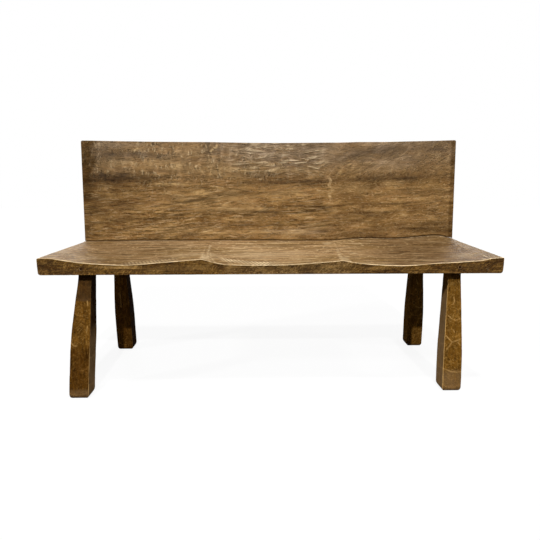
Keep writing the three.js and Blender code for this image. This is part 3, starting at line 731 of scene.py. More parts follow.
# Seat slab. Sizes in mm, with places along the bench, and back from the slab's front edge
seat = {
    "step": 4.0, "stepBack": 5.0, "hiddenStep": 10.0, "edgeRadius": 3.2,
    "facetBlur": 11, "crestKeep": 1.1, "sampleInset": 2.5, "crestReach": (12, 20), "crestRise": 1.0,
    # Both ends round in by so much below and above, over so much of the length
    "endRound": 9, "endRoundTop": 5, "endReach": 26,
    "topCut": (58, 15, 0.62, 0, 9, 0.7, 11), "underCut": (60, 24, 0.62, 8, 12, 1.0, 12),
    "edgeCut": (22, 12, 0.62, 55, 40, 0.9, 13), "cutMargin": 5,
    # Worn edges: how deep, and how much of that is even, rough and nicked
    "wearReach": 4.5, "edgeWave": (0.8, 0.4, 0.4, 0.6),
    "roughSize": (30, 30, 30), "nickSize": (10, 10, 10), "nickSpan": (0.1, 0.55),
    # Ticks: how deep, where the band of them lies, how it runs back at the left, and their places
    "tickSlant": 0.4, "tickPitch": 12.0, "tickDepth": 0.8, "tickFloor": (4, 52, 6), "tickBand": (5, 58, 7),
    "tickLead": {"share": 0.5, "from": -50, "most": 110, "to": -200}, "tickSoft": 25,
    "tickSpans": [(-160, 15, 1.0), (-480, -320, 0.35), (300, 400, 0.3)],
    # How pale the wear is on ticks, end flecks, crest lines and chips, and on edges other than the front's
    "tickWear": 1.25, "fleckWear": 1.1, "lineWear": 0.42, "chipWear": 0.3, "restWear": 0.12,
    "flecks": (640, 728, 16), "crestWidth": 2.6, "frontReach": 12, "rimFront": (60, 130),
    # Where the ends start, and the wear of the crests there and in the left and the right half
    "endsFrom": 600, "rimWear": {"ends": 0.3, "left": 0.15, "right": 0.4},
    # Where the top gets painted shade to the right and left and is hazy at its ends, and the front edge gets
    # paler
    "shadeRight": (230, 550), "shadeLeft": (-520, -80), "endHaze": (680, 740), "paleFront": (-140, 260, 60),
    "jointShade": 8, "pegShade": 8,
    # Middle x, how far back, half length, half width, slant in mm a metre, strength
    "darkStreaks": [
        (-415, 255, 75, 14, 40, 0.8), (-560, 190, 60, 9, -20, 0.35), (-300, 330, 120, 9, 0, 0.4),
        (30, 318, 210, 11, -10, 0.6), (480, 210, 150, 12, 10, 0.35), (420, 120, 110, 9, 0, 0.3),
    ],
    "paleStreaks": [
        (-222, 50, 11, 36, 0, 0.9), (-20, 190, 140, 50, 0, 0.35), (240, 40, 14, 26, 0, 0.6),
        (222, 330, 16, 20, 0, 0.5), (-190, 130, 30, 60, 0, 0.2),
        (-640, 90, 60, 22, 0, 0.25), (660, 90, 50, 26, 0, 0.25), (-270, 100, 70, 30, 0, 0.35),
    ],
    # Thin pale lines that fan out on the left crest: places along the bench and back from the edge
    "crestLines": [
        [(-234, 300), (-228, 220), (-224, 130), (-204, 6)], [(-216, 150), (-206, 70), (-184, 5)],
        [(-224, 130), (-190, 118), (-166, 96)],
    ],
    # On the front edge's face: middle x, height, half length, half height, slant, strength
    "edgeDark": [
        (-168, 24, 17, 9, 0, 0.9), (-700, 22, 20, 16, 0, 0.5), (-610, 12, 60, 7, 0, 0.4),
        (-300, 14, 70, 9, 0, 0.4),
        (95, 30, 60, 6, 0, 0.4), (275, 28, 30, 8, 0, 0.6), (420, 16, 60, 8, 0, 0.4),
        (578, 28, 26, 14, 0, 0.6), (670, 16, 70, 16, 0, 0.8), (120, 14, 40, 9, 0, 0.5),
    ],
    "edgePale": [
        (-496, 26, 66, 4, -20, 1.7), (-130, 12, 22, 4, -150, 0.8), (-205, 33, 12, 6, 400, 0.8),
        (-245, 20, 9, 8, 0, 0.6), (20, 18, 70, 5, 0, 0.5), (170, 22, 60, 6, 100, 0.5),
        (340, 20, 45, 6, 0, 0.4), (650, 20, 40, 8, 0, 0.3), (-310, 20, 100, 10, 0, 0.7),
        (-122, 27, 34, 8, 0, 0.6), (110, 28, 30, 8, 0, 0.4),
    ],
}


def frontTicks(place, behind, rough):
    # Slanting tick marks that the chisel left behind the front edge, in three places
    lead = seat["tickLead"]
    back = lead["share"] * np.clip(lead["from"] - place, 0, lead["most"]) * (place > lead["to"])
    slant = np.sin(2 * math.pi * (place + seat["tickSlant"] * behind) / seat["tickPitch"])
    spans = sum(strength * bump(place, *span, seat["tickSoft"]) for *span, strength in seat["tickSpans"])
    band = bump(behind - back, *seat["tickBand"]) * spans * (0.8 + 0.6 * rough)
    return np.array([softStep(slant, -0.2, 0.8) * band, band])


def endFlecks(place, points, cup):
    # Short pale flecks along both ends, where the gouge ran out into the rim
    flecks = softStep(noiseAt(points, (20, 20, 20)), -0.1, 0.3) * (1 - softStep(cup, 0.05, 0.3))
    return flecks * bump(np.abs(place), *seat["flecks"])


def carveSeat(material):
    low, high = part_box("seat_slab")
    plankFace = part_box("back_plank")[0].y
    tree = nodeTree("seat_slab")
    size = high - low
    radius, step = seat["edgeRadius"] * mm, seat["step"] * mm
    xs = gridLines(size.x, step, radius)
    ys = gridLines(size.y, seat["stepBack"] * mm, radius)
    zs = gridLines(size.z, step, radius)
    # Fewer lines under the plank, where they don't show
    hidden = np.flatnonzero((ys > plankFace - low.y + 3 * step) & (ys < size.y - 2 * radius))
    thin = max(1, round(seat["hiddenStep"] / seat["stepBack"]))
    ys = np.delete(ys, [line for line in hidden if line % thin])

    inset = seat["sampleInset"] * mm
    sampleX = np.clip(xs + low.x, low.x + inset, high.x - inset)
    sampleY = np.clip(ys + low.y, low.y + inset, plankFace)
    top = np.array([[reach(tree, (x, y, high.z + 1), (0, 0, -1), zAxis) for y in sampleY] for x in sampleX])
    carved = softened(top, xs, ys, seat["facetBlur"] * mm, seat["crestKeep"] * mm)
    alongX, alongY = (reachMm * mm for reachMm in seat["crestReach"])
    crest = carved - blurMatrix(xs, alongX) @ carved @ blurMatrix(ys, alongY).T
    crest = np.clip(crest / (seat["crestRise"] * mm), 0, 1)

    skin = blockSkin([xs, ys, zs], radius)
    points = skin["points"] + np.array(low)
    grid = skin["grid"]
    height = carved[grid[:, 0], grid[:, 1]] - low.z
    points[:, 2] = stretched(skin["points"][:, 2], size.z, radius, low.z, height)
    # The ends round in more towards the underside than towards the top
    endReach = seat["endReach"] * mm
    fromUnder = np.clip(1 - (points[:, 2] - low.z) / (seat["endRound"] * mm), 0, 1)
    fromTop = np.clip(1 - (low.z + height - points[:, 2]) / (seat["endRoundTop"] * mm), 0, 1)
    fromTop *= 1 - softStep(points[:, 1], plankFace - endReach, plankFace)
    inward = seat["endRound"] * quarterRound(fromUnder) + seat["endRoundTop"] * quarterRound(fromTop)
    nearEnd = softStep(np.abs(points[:, 0]), size.x / 2 - endReach, size.x / 2 - radius)
    points[:, 0] -= np.sign(points[:, 0]) * inward * mm * nearEnd

    axis, far, edge = facesOf(skin)
    x, y, z = points.T
    isTop = (axis == zAxis) & far
    isUnder = (axis == zAxis) & ~far
    isSide = axis != zAxis
    along = np.where(axis == xAxis, y, x)
    behind = (y - low.y) / mm
    depth = gouged([
        (isTop, x, y, seat["topCut"]), (isUnder, x, y, seat["underCut"]), (isSide, along, z, seat["edgeCut"]),
    ])
    cup = depth.copy()
    rough, nick, worn, wave = wornEdges(points, edge, seat)
    ticks, ticked = frontTicks(x / mm, behind, rough) * isTop
    depth += seat["tickDepth"] * (1 - ticks) * bump(behind, *seat["tickFloor"]) * isTop
    depth = depth * softStep(edge, 0, seat["cutMargin"] * mm) + wave
    points -= normalsOf(points, skin["quads"]) * (depth * mm)[:, None]

    # Worn pale along the front's top edge and the crests, dark on the cut sides, with painted shade in the
    # crease by the plank
    place, lift = x / mm, (z - low.z) / mm
    isFront = isSide & (y < low.y + 4 * mm)
    onCrest = softStep(crest[grid[:, 0], grid[:, 1]] * isTop, 0.5, 1.0)
    onEdge = worn * (z > low.z + 0.7 * height) * (isTop | (edge < 2 * mm))
    onFront = np.where(y < low.y + seat["frontReach"] * mm, 1.0, seat["restWear"])
    rimWear = seat["rimWear"]
    rim = np.where(place < 0, rimWear["left"], rimWear["right"])
    rim = np.where(np.abs(place) > seat["endsFrom"], rimWear["ends"], rim) * onCrest
    rim *= 1 + 1.5 * (1 - softStep(behind, *seat["rimFront"]))
    wear = onEdge * onFront * (1.1 + 0.4 * rough) + rim * (0.15 + 0.4 * rough + nick)
    wear += seat["tickWear"] * ticks + seat["fleckWear"] * endFlecks(place, points, cup) * isTop
    lines = scratchMarks(place, behind, seat["crestLines"], seat["crestWidth"])
    wear += seat["lineWear"] * lines * (0.8 + 0.6 * rough) * isTop
    chips = (1 - softStep(cup, 0.05, 0.4)) * softStep(rough, -0.1, 0.3)
    wear += seat["chipWear"] * isSide * chips
    golden = isFront * lenses(place, lift, seat["edgePale"]) * (0.6 + 0.5 * nick + 0.4 * rough)
    # Painted shade: the top darkens towards its right and left hollows
    darker = 0.85 * softStep(place, *seat["shadeRight"]) + 0.5 * (1 - softStep(place, *seat["shadeLeft"]))
    figure = (darker + lenses(place, behind, seat["darkStreaks"])) * isTop + 1.3 * (ticked - ticks)
    figure += lenses(place, lift, seat["edgeDark"]) * isFront
    haze = 0.12 * softStep(np.abs(place), *seat["endHaze"]) + lenses(place, behind, seat["paleStreaks"])
    # Painted shade along the crease where the plank stands on the seat
    joint = 0.8 * (1 - softStep(np.abs(y - plankFace), 0, seat["jointShade"] * mm)) * isTop
    grime = joint + isSide * (0.15 + 0.5 * softStep(noiseAt(points, (70, 70, 22)), -0.1, 0.35))
    for peg in pegs:
        middle = sum(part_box(peg), Vector()) / 2
        away = np.hypot(x - middle.x, z - middle.z) / (seat["pegShade"] * mm)
        grime += np.exp(-away * away) * isSide * (y * middle.y > 0)
    marks = {
        "stain": ~isTop * (1 - 0.3 * isFront * bump(place, *seat["paleFront"])), "figure": figure,
        "golden": golden, "haze": haze * isTop, "grime": grime, "wear": wear, "chipped": 1.0 * isSide,
    }
    return addPiece("seat_slab", points, skin["quads"].tolist(), material, marks)


# Back plank. Sizes in mm, with heights up the plank from its foot
back = {
    "step": 4.0, "edgeRadius": 2.4, "facetBlur": 12, "crestKeep": 0.6, "sampleInset": 0.6,
    "sampleMargin": 1.5,
    "footPlace": 6.0, "topPlace": 25.0,  # behind the face, clear of mortises and of the hollows
    "upperCut": (46, 24, 0.6, 82, 22, 1.1, 21), "rightCut": (56, 22, 0.6, 32, 24, 1.1, 25),
    "lowerCut": (60, 16, 0.6, 4, 12, 0.9, 24), "rearCut": (60, 22, 0.62, 4, 14, 0.9, 22),
    "edgeCut": (30, 12, 0.6, 0, 20, 0.6, 23), "cutMargin": 5,
    # Over which heights the cuts turn across the grain, and from where to where they come to slant
    "crossFrom": (190, 270), "slantFrom": (200, 280),
    "wearReach": 2.6, "edgeWave": (0.8, 0.4, 0.35, 0.5),
    "roughSize": (24, 24, 24), "nickSize": (9, 9, 9), "nickSpan": (0.1, 0.5),
    "crestReach": 14, "crestRise": 0.45, "crestWiggle": 5, "crestFade": (60, 180),
    # Where the ends start, and the wear of the crests there and in the left and the right half
    "endsFrom": 650, "crestWear": {"ends": 0.4, "left": 0.25, "right": 0.8},
    # Where the ends' dark strips fade, where the upper part gets a painted sheen, and where the ripples are
    "leftStrip": (-730, -690), "rightStrip": (726, 736), "upperHaze": (200, 360), "ripples": (-140, 220, 50),
    "jointShade": 6,
    # Dark heartwood: middle x, height, half length, half width, rise in mm a metre, strength
    "darkStreaks": [
        (-560, 247, 120, 9, -10, 0.45), (-350, 252, 130, 6, 20, 0.5), (-420, 328, 150, 8, -60, 0.45),
        (-590, 249, 165, 22, -30, 1.0), (-380, 275, 110, 9, -60, 0.5), (-655, 348, 110, 55, 0, 0.7),
        (-650, 140, 130, 110, 0, 0.5), (194, 126, 60, 14, 0, 0.7), (390, 314, 80, 14, 0, 0.5),
        (-430, 253, 60, 10, 0, 0.5), (-518, 158, 60, 18, 0, 0.5), (194, 379, 50, 14, 0, 0.45),
        (-390, 209, 140, 8, 20, 0.6), (-390, 99, 60, 5, 120, 0.7), (600, 326, 230, 50, 0, 0.35),
        (560, 22, 250, 34, 0, 0.55), (-410, 230, 90, 12, 0, 0.4), (330, 160, 60, 30, 0, 0.3),
        (-560, 342, 170, 13, -75, 1.0), (-216, 362, 58, 20, 0, 0.7), (45, 231, 200, 13, 30, 0.85),
        (60, 262, 150, 5, 30, 0.15), (383, 343, 150, 20, 210, 0.75), (530, 240, 230, 10, 12, 0.75),
        (620, 236, 130, 17, 0, 0.6), (130, 343, 110, 13, 50, 0.5), (685, 343, 34, 9, 0, 0.7),
        (330, 138, 380, 4, 6, 0.8), (-550, 83, 180, 6, 0, 0.6), (-180, 182, 210, 5, 50, 0.5),
        (80, 64, 270, 5, -10, 0.5), (-360, 150, 130, 5, 130, 0.8), (-60, 112, 200, 4, -30, 0.5),
        (-150, 22, 240, 4, 0, 0.5), (480, 178, 180, 5, -25, 0.4), (560, 104, 170, 7, 10, 0.4),
    ],
    # Pale streaks, some of them a painted sheen where the wax catches the light
    "paleStreaks": [
        (-30, 374, 170, 20, 0, 0.6), (60, 352, 250, 48, 0, 0.5), (500, 300, 110, 26, 100, 0.3),
        (-600, 378, 90, 12, 0, 0.45), (120, 36, 130, 12, 0, 0.25), (520, 377, 180, 12, 0, 0.3),
    ],
    "goldenStreaks": [
        (-250, 282, 150, 30, 0, 0.45), (-155, 284, 40, 14, 0, 0.8), (20, 283, 190, 14, 0, 0.55),
        (-160, 126, 150, 14, 0, 0.5), (-162, 190, 50, 14, 0, 0.5), (194, 63, 50, 12, 0, 0.5),
        (105, 32, 60, 12, 0, 0.5), (420, 284, 110, 18, 0, 0.35), (490, 222, 60, 10, 0, 0.3),
        (-42, 304, 60, 14, 0, 0.7), (-370, 294, 26, 16, -80, 0.95), (-113, 279, 26, 12, 0, 0.8),
        (-560, 303, 130, 20, -40, 0.45), (-437, 312, 60, 10, -60, 0.6), (-390, 224, 80, 5, 0, 0.7),
        (-270, 190, 70, 9, -20, 0.5), (70, 190, 90, 16, 0, 0.4), (-180, 35, 260, 12, 0, 0.3),
        (330, 205, 90, 20, 60, 0.3), (-160, 258, 40, 10, 0, 0.5), (160, 282, 80, 12, -100, 0.4),
        (-200, 300, 50, 14, 0, 0.4), (-260, 292, 230, 34, 0, 0.3), (-250, 165, 170, 40, 0, 0.3),
        (90, 284, 150, 20, 0, 0.3), (-330, 350, 60, 30, 0, 0.4), (-330, 40, 180, 22, 0, 0.25),
    ],
    # Curled chips left by the gouge: middle x, height, radius, start and end angle in degrees
    "curls": [(-539, 368, 10, -150, 0), (-222, 376, 9, -120, 30), (-226, 350, 11, 80, 190)], "curlWidth": 3.0,
}


def curlMarks(x, lift):
    total = np.zeros(len(x))
    for midX, midLift, radius, start, end in back["curls"]:
        away = np.hypot(x - midX, lift - midLift)
        angle = np.degrees(np.arctan2(lift - midLift, x - midX))
        inArc = (angle > start) & (angle < end)
        total = np.maximum(total, np.exp(-((away - radius) / back["curlWidth"]) ** 2) * inArc)
    return total


def carvePlank(material):
    turn = plankTurn()
    lean = math.atan2(turn[2][1], turn[1][1])
    tree = nodeTree("back_plank", turn)
    low, high = extentOf("back_plank", turn)
    radius, step = back["edgeRadius"] * mm, back["step"] * mm
    thickness = high[1] - low[1]
    xs, ys, zs = (gridLines(length, step, radius) for length in high - low)
    inset, margin = back["sampleInset"] * mm, back["sampleMargin"] * mm
    sampleX = np.clip(xs + low[0], low[0] + inset, high[0] - inset)
    free = low[1] + back["footPlace"] * mm
    solid = low[1] + back["topPlace"] * mm
    top = np.array([reach(tree, (x, solid, high[2] + 1), (0, 0, -1), zAxis) for x in sampleX])
    foot = np.array([reach(tree, (x, free, low[2] - 1), (0, 0, 1), zAxis) for x in sampleX])
    hollow = np.empty((len(xs), len(zs)))
    for i, x in enumerate(sampleX):
        for k, share in enumerate(zs / zs[-1]):
            z = foot[i] + margin + share * (top[i] - foot[i] - 2 * margin)
            hollow[i, k] = reach(tree, (x, low[1] - 1, z), (0, 1, 0), yAxis) - low[1]
    carved = softened(hollow, xs, zs, back["facetBlur"] * mm, back["crestKeep"] * mm)
    around = back["crestReach"] * mm
    crest = blurMatrix(xs, around) @ carved @ blurMatrix(zs, around).T - carved
    crest = np.clip(crest / (back["crestRise"] * mm), 0, 1)

    skin = blockSkin([xs, ys, zs], radius)
    grid = skin["grid"]
    points = skin["points"] + low
    through, level = skin["points"][:, 1], skin["points"][:, 2]
    inFront = 1 - np.clip((through - radius) / (thickness - 2 * radius), 0, 1)
    points[:, 1] += inFront * carved[grid[:, 0], grid[:, 2]]
    # The foot is cut to lie flat on the seat, so it slopes across the leaning plank
    footHere = foot[grid[:, 0]] + (points[:, 1] - free) * math.tan(lean)
    points[:, 2] = stretched(level, zs[-1], radius, footHere, top[grid[:, 0]] - footHere)

    axis, far, edge = facesOf(skin)
    x, y, z = points.T
    isFace = (axis == yAxis) & ~far
    isRear = (axis == yAxis) & far
    isSide = axis != yAxis
    along = np.where(axis == xAxis, z, x)
    lift = (z - footHere) / mm
    # Cut across the grain in the upper half, slanting at the right, and along it lower down
    crosswise = softStep(lift + 50 * noiseAt(points, (160, 160, 90)), *back["crossFrom"]) * isFace
    atRight = softStep(x / mm + 30 * noiseAt(points, (120, 120, 120)), *back["slantFrom"])
    cuts = (back[name] for name in ("upperCut", "rightCut", "lowerCut"))
    across, slanting, lengthwise = (gouged([(isFace, x, z, cut)]) for cut in cuts)
    depth = gouged([(isRear, x, z, back["rearCut"]), (isSide, along, y, back["edgeCut"])])
    depth += crosswise * (across + atRight * (slanting - across)) + (1 - crosswise) * lengthwise
    cup = depth * isFace
    rough, nick, worn, wave = wornEdges(points, edge, back)
    depth = depth * softStep(edge, 0, back["cutMargin"] * mm) + wave
    points -= normalsOf(points, skin["quads"]) * (depth * mm)[:, None]

    place = x / mm
    upper = softStep(lift, *back["upperHaze"])
    figure = lenses(place, lift, back["darkStreaks"]) * (0.85 + 0.5 * noiseAt(points, (120, 60, 14)))
    figure += 0.3 * softStep(noiseAt(points, (190, 80, 40)), 0.0, 0.45)
    # Painted shade over the right hollow's upper part
    figure += 0.2 * softStep(place, 200, 350) * crosswise
    # Dark strips down both ends, the left one ragged, and broader and darker towards the top
    strip = 1 - softStep(place + 12 * (rough - 0.5 * upper), *back["leftStrip"])
    strip = strip * (0.3 + 0.5 * softStep(lift, 120, 300)) + 0.5 * softStep(place, *back["rightStrip"])
    mottle = 0.75 + 0.7 * noiseAt(points, (40, 40, 14))
    golden = lenses(place, lift, back["goldenStreaks"]) * mottle
    # Pale streaks, partly painted sheen, and a painted sheen over the upper part
    haze = lenses(place, lift, back["paleStreaks"]) * mottle + 0.25 * upper
    # The pale crests between the hollows wander, and the right one is the more worn
    wiggle = np.rint(back["crestWiggle"] * noiseAt(points, (46, 46, 24))).astype(int)
    beside = np.clip(grid[:, 0] + wiggle, 0, len(xs) - 1)
    patches = softStep(noiseAt(points, (70, 70, 42)), -0.2, 0.35) * (0.25 + 0.75 * nick)
    crestWear = back["crestWear"]
    atEnds = crestWear["ends"] * (place < 0) * softStep(lift, 200, 300)
    share = np.where(place > 0, crestWear["right"], crestWear["left"])
    share = np.where(np.abs(place) > back["endsFrom"], atEnds, share) * softStep(lift, *back["crestFade"])
    onCrest = softStep(crest[beside, grid[:, 2]], 0.5, 0.95) * isFace * patches * share
    ridge = (1 - softStep(cup, 0.05, 0.28)) * softStep(noiseAt(points, (34, 34, 18)), -0.1, 0.4) * isFace
    wear = 0.35 * worn * (0.5 + 0.5 * rough) + onCrest + 0.4 * ridge + 0.9 * curlMarks(place, lift) * isFace
    # Painted shade along the foot, in the crease where the plank meets the seat
    joint = 0.9 * (1 - softStep(lift, 0, back["jointShade"]))
    grime = joint + (strip + 0.45 * softStep(cup, 0.4, 0.9)) * isFace + 0.5 * isSide
    marks = {
        "stain": 0.35 * isRear + 0.7 * isSide, "figure": figure * isFace, "haze": haze * isFace,
        "golden": golden * isFace, "grime": grime, "wear": wear,
        "crosswise": crosswise * (1 - 0.75 * softStep(place, 20, 140)) * softStep(mottle, 0.5, 0.85),
        "rippled": bump(place, *back["ripples"]) * softStep(lift, 240, 300) * isFace,
        "lined": (1 - 0.5 * softStep(place, *back["slantFrom"])) * (1 - 0.45 * crosswise),
        "feathered": softStep(place, 160, 300) * (0.3 + 0.7 * crosswise) * isFace,
    }
    points = points @ np.array(turn)
    return addPiece("back_plank", points, skin["quads"].tolist(), material, marks)


# Legs, hewn with an adze: long flat cuts that stop in curved steps. Sizes in mm
legs = {
    "step": 2.4, "edgeRadius": 4.0, "blur": 14, "soleInset": 6, "headInset": 2,
    "cut": (34, 18, 0.62, 0, 14, 0.7), "cutMargin": 4, "headMargin": (12, 2),  # seeds are the legs' own
    "stepDepth": 1.0, "stepPitch": 88, "stepCurve": 0.011, "stopWidth": 1.3, "stepWander": 9, "nextSide": 29,
    "wearReach": 2.8, "edgeWave": (1.0, 0.4, 0.35, 0.5),
    "roughSize": (22, 22, 34), "nickSize": (9, 9, 16), "nickSpan": (0.15, 0.6),
    # The last pair of heights bounds the painted shadow band across the left front leg's top
    "footRound": 8.5, "footRise": 17.0, "scratchWidth": 1.7, "dullSpan": (318, 405),
    # Over which heights the worn steps, the painted light on the flank and the low stain end, and the flank's
    # painted shade changes
    "stepsEnd": (270, 300), "flankHazeEnd": (300, 380), "shadeChange": (180, 250), "lowStainEnd": (150, 180),
}
# What a leg has unless its own style says otherwise
plainLeg = {
    "edgeWear": 0.1, "wornSpan": (0, 390), "lowStain": 0.0, "footHaze": 0.0, "hazeTop": 30, "flankHaze": 0.0,
    "dullTop": 0.0,
}
# Which front edge is worn (-1 left, 1 right), how much and from where to where, the worn steps, and where the
# steps start. The dark stain, partly painted shade on the rear left leg, and how much more of it is low down.
# The pale haze at the foot, how high it reaches, the painted light on the flank that looks inward, the
# painted
# shade on that flank above and below, and the painted shadow band across the top. Scratches on the front:
# places across from the leg's middle, and heights
legStyles = {
    "leg_front_left": {
        "seed": 31, "wornEdge": 1, "edgeWear": 0.55, "wornSpan": (0, 170), "stepWear": 0.1, "shift": 20,
        "stain": 0.45, "lowStain": 0.3, "footHaze": 0.35, "flankHaze": 1.0, "flankShade": (1.0, 0.0),
        "dullTop": 1.0,
        "scratches": [[(-30, 186), (-22, 176), (-12, 174)], [(14, 318), (16, 304)], [(20, 238), (18, 216)]],
    },
    "leg_front_right": {
        "seed": 37, "wornEdge": -1, "edgeWear": 1.5, "stepWear": 0.15, "shift": 13,
        "stain": 0.12, "lowStain": 0.1, "footHaze": 0.45, "hazeTop": 75, "flankHaze": 1.0,
        "flankShade": (0.0, 0.0),
        "scratches": [
            [(-19, 262), (-8, 251), (6, 245), (20, 250)], [(-25, 193), (-4, 171), (14, 177), (24, 182)],
            [(-4, 171), (-14, 157), (-22, 148)], [(16, 170), (24, 160)],
            [(-30, 81), (-8, 71), (14, 67), (26, 70)], [(-1, 322), (2, 310), (-3, 298)],
            [(14, 376), (20, 366), (22, 358)], [(0, 212), (3, 204)],
        ],
    },
    "leg_rear_left": {
        "seed": 41, "wornEdge": 1, "stepWear": 0.05, "shift": 8, "stain": 0.85, "flankShade": (1.0, 0.9),
        "scratches": [[(-6, 250), (-4, 190)]],
    },
    "leg_rear_right": {
        "seed": 43, "wornEdge": -1, "stepWear": 0.15, "shift": 64, "stain": 0.35, "flankShade": (0.5, 0.0),
        "scratches": [[(-2, 182), (12, 176), (22, 178)], [(-4, 300), (2, 282)]],
    },
}


def hewLeg(node, material):
    style = {**plainLeg, **legStyles[node]}
    low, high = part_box(node)
    tree = nodeTree(node)
    bone = legAxisOf(node)
    sole, neck = bone["sole"], bone["neck"]
    shoulder = neck[2]
    radius, step = legs["edgeRadius"] * mm, legs["step"] * mm
    zs = gridLines(shoulder + radius, step, radius)
    bounds = np.empty((len(zs), 4))
    for k, z in enumerate(np.clip(zs, legs["soleInset"] * mm, shoulder - legs["headInset"] * mm)):
        x, y = sole[:2] + (neck[:2] - sole[:2]) * z / shoulder
        bounds[k] = (
            reach(tree, (low.x - 1, y, z), (1, 0, 0), xAxis),
            reach(tree, (high.x + 1, y, z), (-1, 0, 0), xAxis),
            reach(tree, (x, low.y - 1, z), (0, 1, 0), yAxis),
            reach(tree, (x, high.y + 1, z), (0, -1, 0), yAxis),
        )
    bounds = blurMatrix(zs, legs["blur"] * mm) @ (bounds - bounds[:1]) + bounds[:1]
    sides = bounds[0, 1] - bounds[0, 0], bounds[0, 3] - bounds[0, 2]
    skin = blockSkin([*(gridLines(side, step, radius) for side in sides), zs], radius)
    here = bounds[skin["grid"][:, 2]]
    # The foot rounds in towards its sole
    fromSole = np.clip(1 - skin["points"][:, 2] / (legs["footRise"] * mm), 0, 1)
    inward = 2 * legs["footRound"] * mm * quarterRound(fromSole)
    points = np.minimum(skin["points"], shoulder)
    for k, side in enumerate(sides):
        share = 0.5 + (skin["points"][:, k] / side - 0.5) * (1 - inward / side)
        points[:, k] = here[:, 2 * k] + share * (here[:, 2 * k + 1] - here[:, 2 * k])

    axis, far, edge = facesOf(skin)
    x, y, z = points.T
    middleX, middleY = here[:, :2].mean(1), here[:, 2:].mean(1)
    across = np.where(axis == xAxis, y - middleY, x - middleX)
    side = axis * 2 + far
    isFlank = axis != zAxis
    depth = gouged([(side == k, z, across, (*legs["cut"], style["seed"] + k)) for k in range(4)])
    cup = depth.copy()
    # Each long cut gets deeper on its way down and stops in a curved step
    travel = z / mm + style["shift"] + legs["nextSide"] * side - legs["stepCurve"] * (across / mm) ** 2
    travel = (travel + legs["stepWander"] * noiseAt(points, (40, 40, 120))) / legs["stepPitch"]
    depth += legs["stepDepth"] * (1 - travel % 1) * isFlank
    fromStop = (0.5 - np.abs(travel % 1 - 0.5)) * legs["stepPitch"]
    stop = np.exp(-((fromStop / legs["stopWidth"]) ** 2)) * isFlank
    headFrom, headTo = (shoulder - margin * mm for margin in legs["headMargin"])
    inner = softStep(edge, 0, legs["cutMargin"] * mm) * (1 - softStep(z, headFrom, headTo))
    rough, _, worn, wave = wornEdges(points, edge, legs)
    underHead = z < shoulder - 1 * mm
    depth = depth * inner + wave * underHead
    push = normalsOf(points, skin["quads"]) * (depth * mm)[:, None]
    push[z < 1 * mm, 2] = 0
    points -= push

    lift = z / mm
    fromMiddle = x - middleX
    aside = fromMiddle * style["wornEdge"]
    atFront = y < here[:, 2] + 5 * mm
    onWornEdge = style["edgeWear"] * atFront * (aside > 0) * bump(lift, *style["wornSpan"], 12)
    wear = worn * underHead * (lift > 6) * (0.1 + onWornEdge) * (0.85 + 0.5 * rough)
    broken = softStep(noiseAt(points, (50, 50, 70)), -0.15, 0.25) * (1 - softStep(lift, *legs["stepsEnd"]))
    wear += style["stepWear"] * stop * broken * inner
    chips = (1 - softStep(cup, 0.04, 0.2)) * softStep(noiseAt(points, (26, 26, 50)), 0.05, 0.4)
    wear += 0.25 * chips * isFlank * (1 - 0.7 * style["stain"])
    lines = scratchMarks(fromMiddle / mm, lift, style["scratches"], legs["scratchWidth"])
    wear += 0.75 * lines * (side == 2 * yAxis) * (0.7 + 0.5 * rough) * (1 - 0.5 * style["stain"])
    # Painted light on the inward flank, and a painted shadow band across the left front leg's top
    onFlank = (axis == xAxis) * (aside > 0)
    shadowBand = style["dullTop"] * bump(lift, *legs["dullSpan"], 2)
    haze = style["footHaze"] * (1 - softStep(lift, style["hazeTop"] - 8, style["hazeTop"] + 8))
    haze += style["flankHaze"] * onFlank * (1 - softStep(lift, *legs["flankHazeEnd"]))
    haze += 0.16 * shadowBand * (0.8 + 0.7 * rough)
    # Darker at the sole, painted shade under the seat near the top, and painted shade on the inward flank
    # above and below
    shadeAbove, shadeBelow = style["flankShade"]
    grime = 0.5 * (1 - softStep(lift, 0, 5)) + 0.8 * softStep(z, shoulder - 24 * mm, shoulder - 4 * mm)
    grime += onFlank * (shadeBelow + (shadeAbove - shadeBelow) * softStep(lift, *legs["shadeChange"]))
    # The stain is partly painted shade on the rear left leg, and it grows low down and in the painted shadow
    # band
    lowDown = 1 - softStep(lift + 10 * rough, *legs["lowStainEnd"])
    marks = {
        "stain": style["stain"] + style["lowStain"] * lowDown + 0.38 * shadowBand,
        "figure": 0.35 * softStep(rough, 0.0, 0.5), "haze": haze, "grime": grime, "wear": wear,
    }
    piece = addPiece(node, points, skin["quads"].tolist(), material, marks)
    combine(piece, [tenonBar(node, 0)], "UNION")
    combine(piece, [pegHole(node.replace("leg_", "leg_peg_"))], "DIFFERENCE")


# Pegs, split from a billet, whittled to eight flats and sawn off by hand. Sizes in mm
pegShape = {
    "columns": 48, "rows": 40, "flats": 8, "flatShare": 0.6, "dome": 0.6, "rim": 0.7, "slack": 0.1,
    "rimLevels": (0, 0.15, 0.5, 1), "domeRings": (0.12, 0.4, 0.7, 0.9),  # shares of the rim and the radius
}


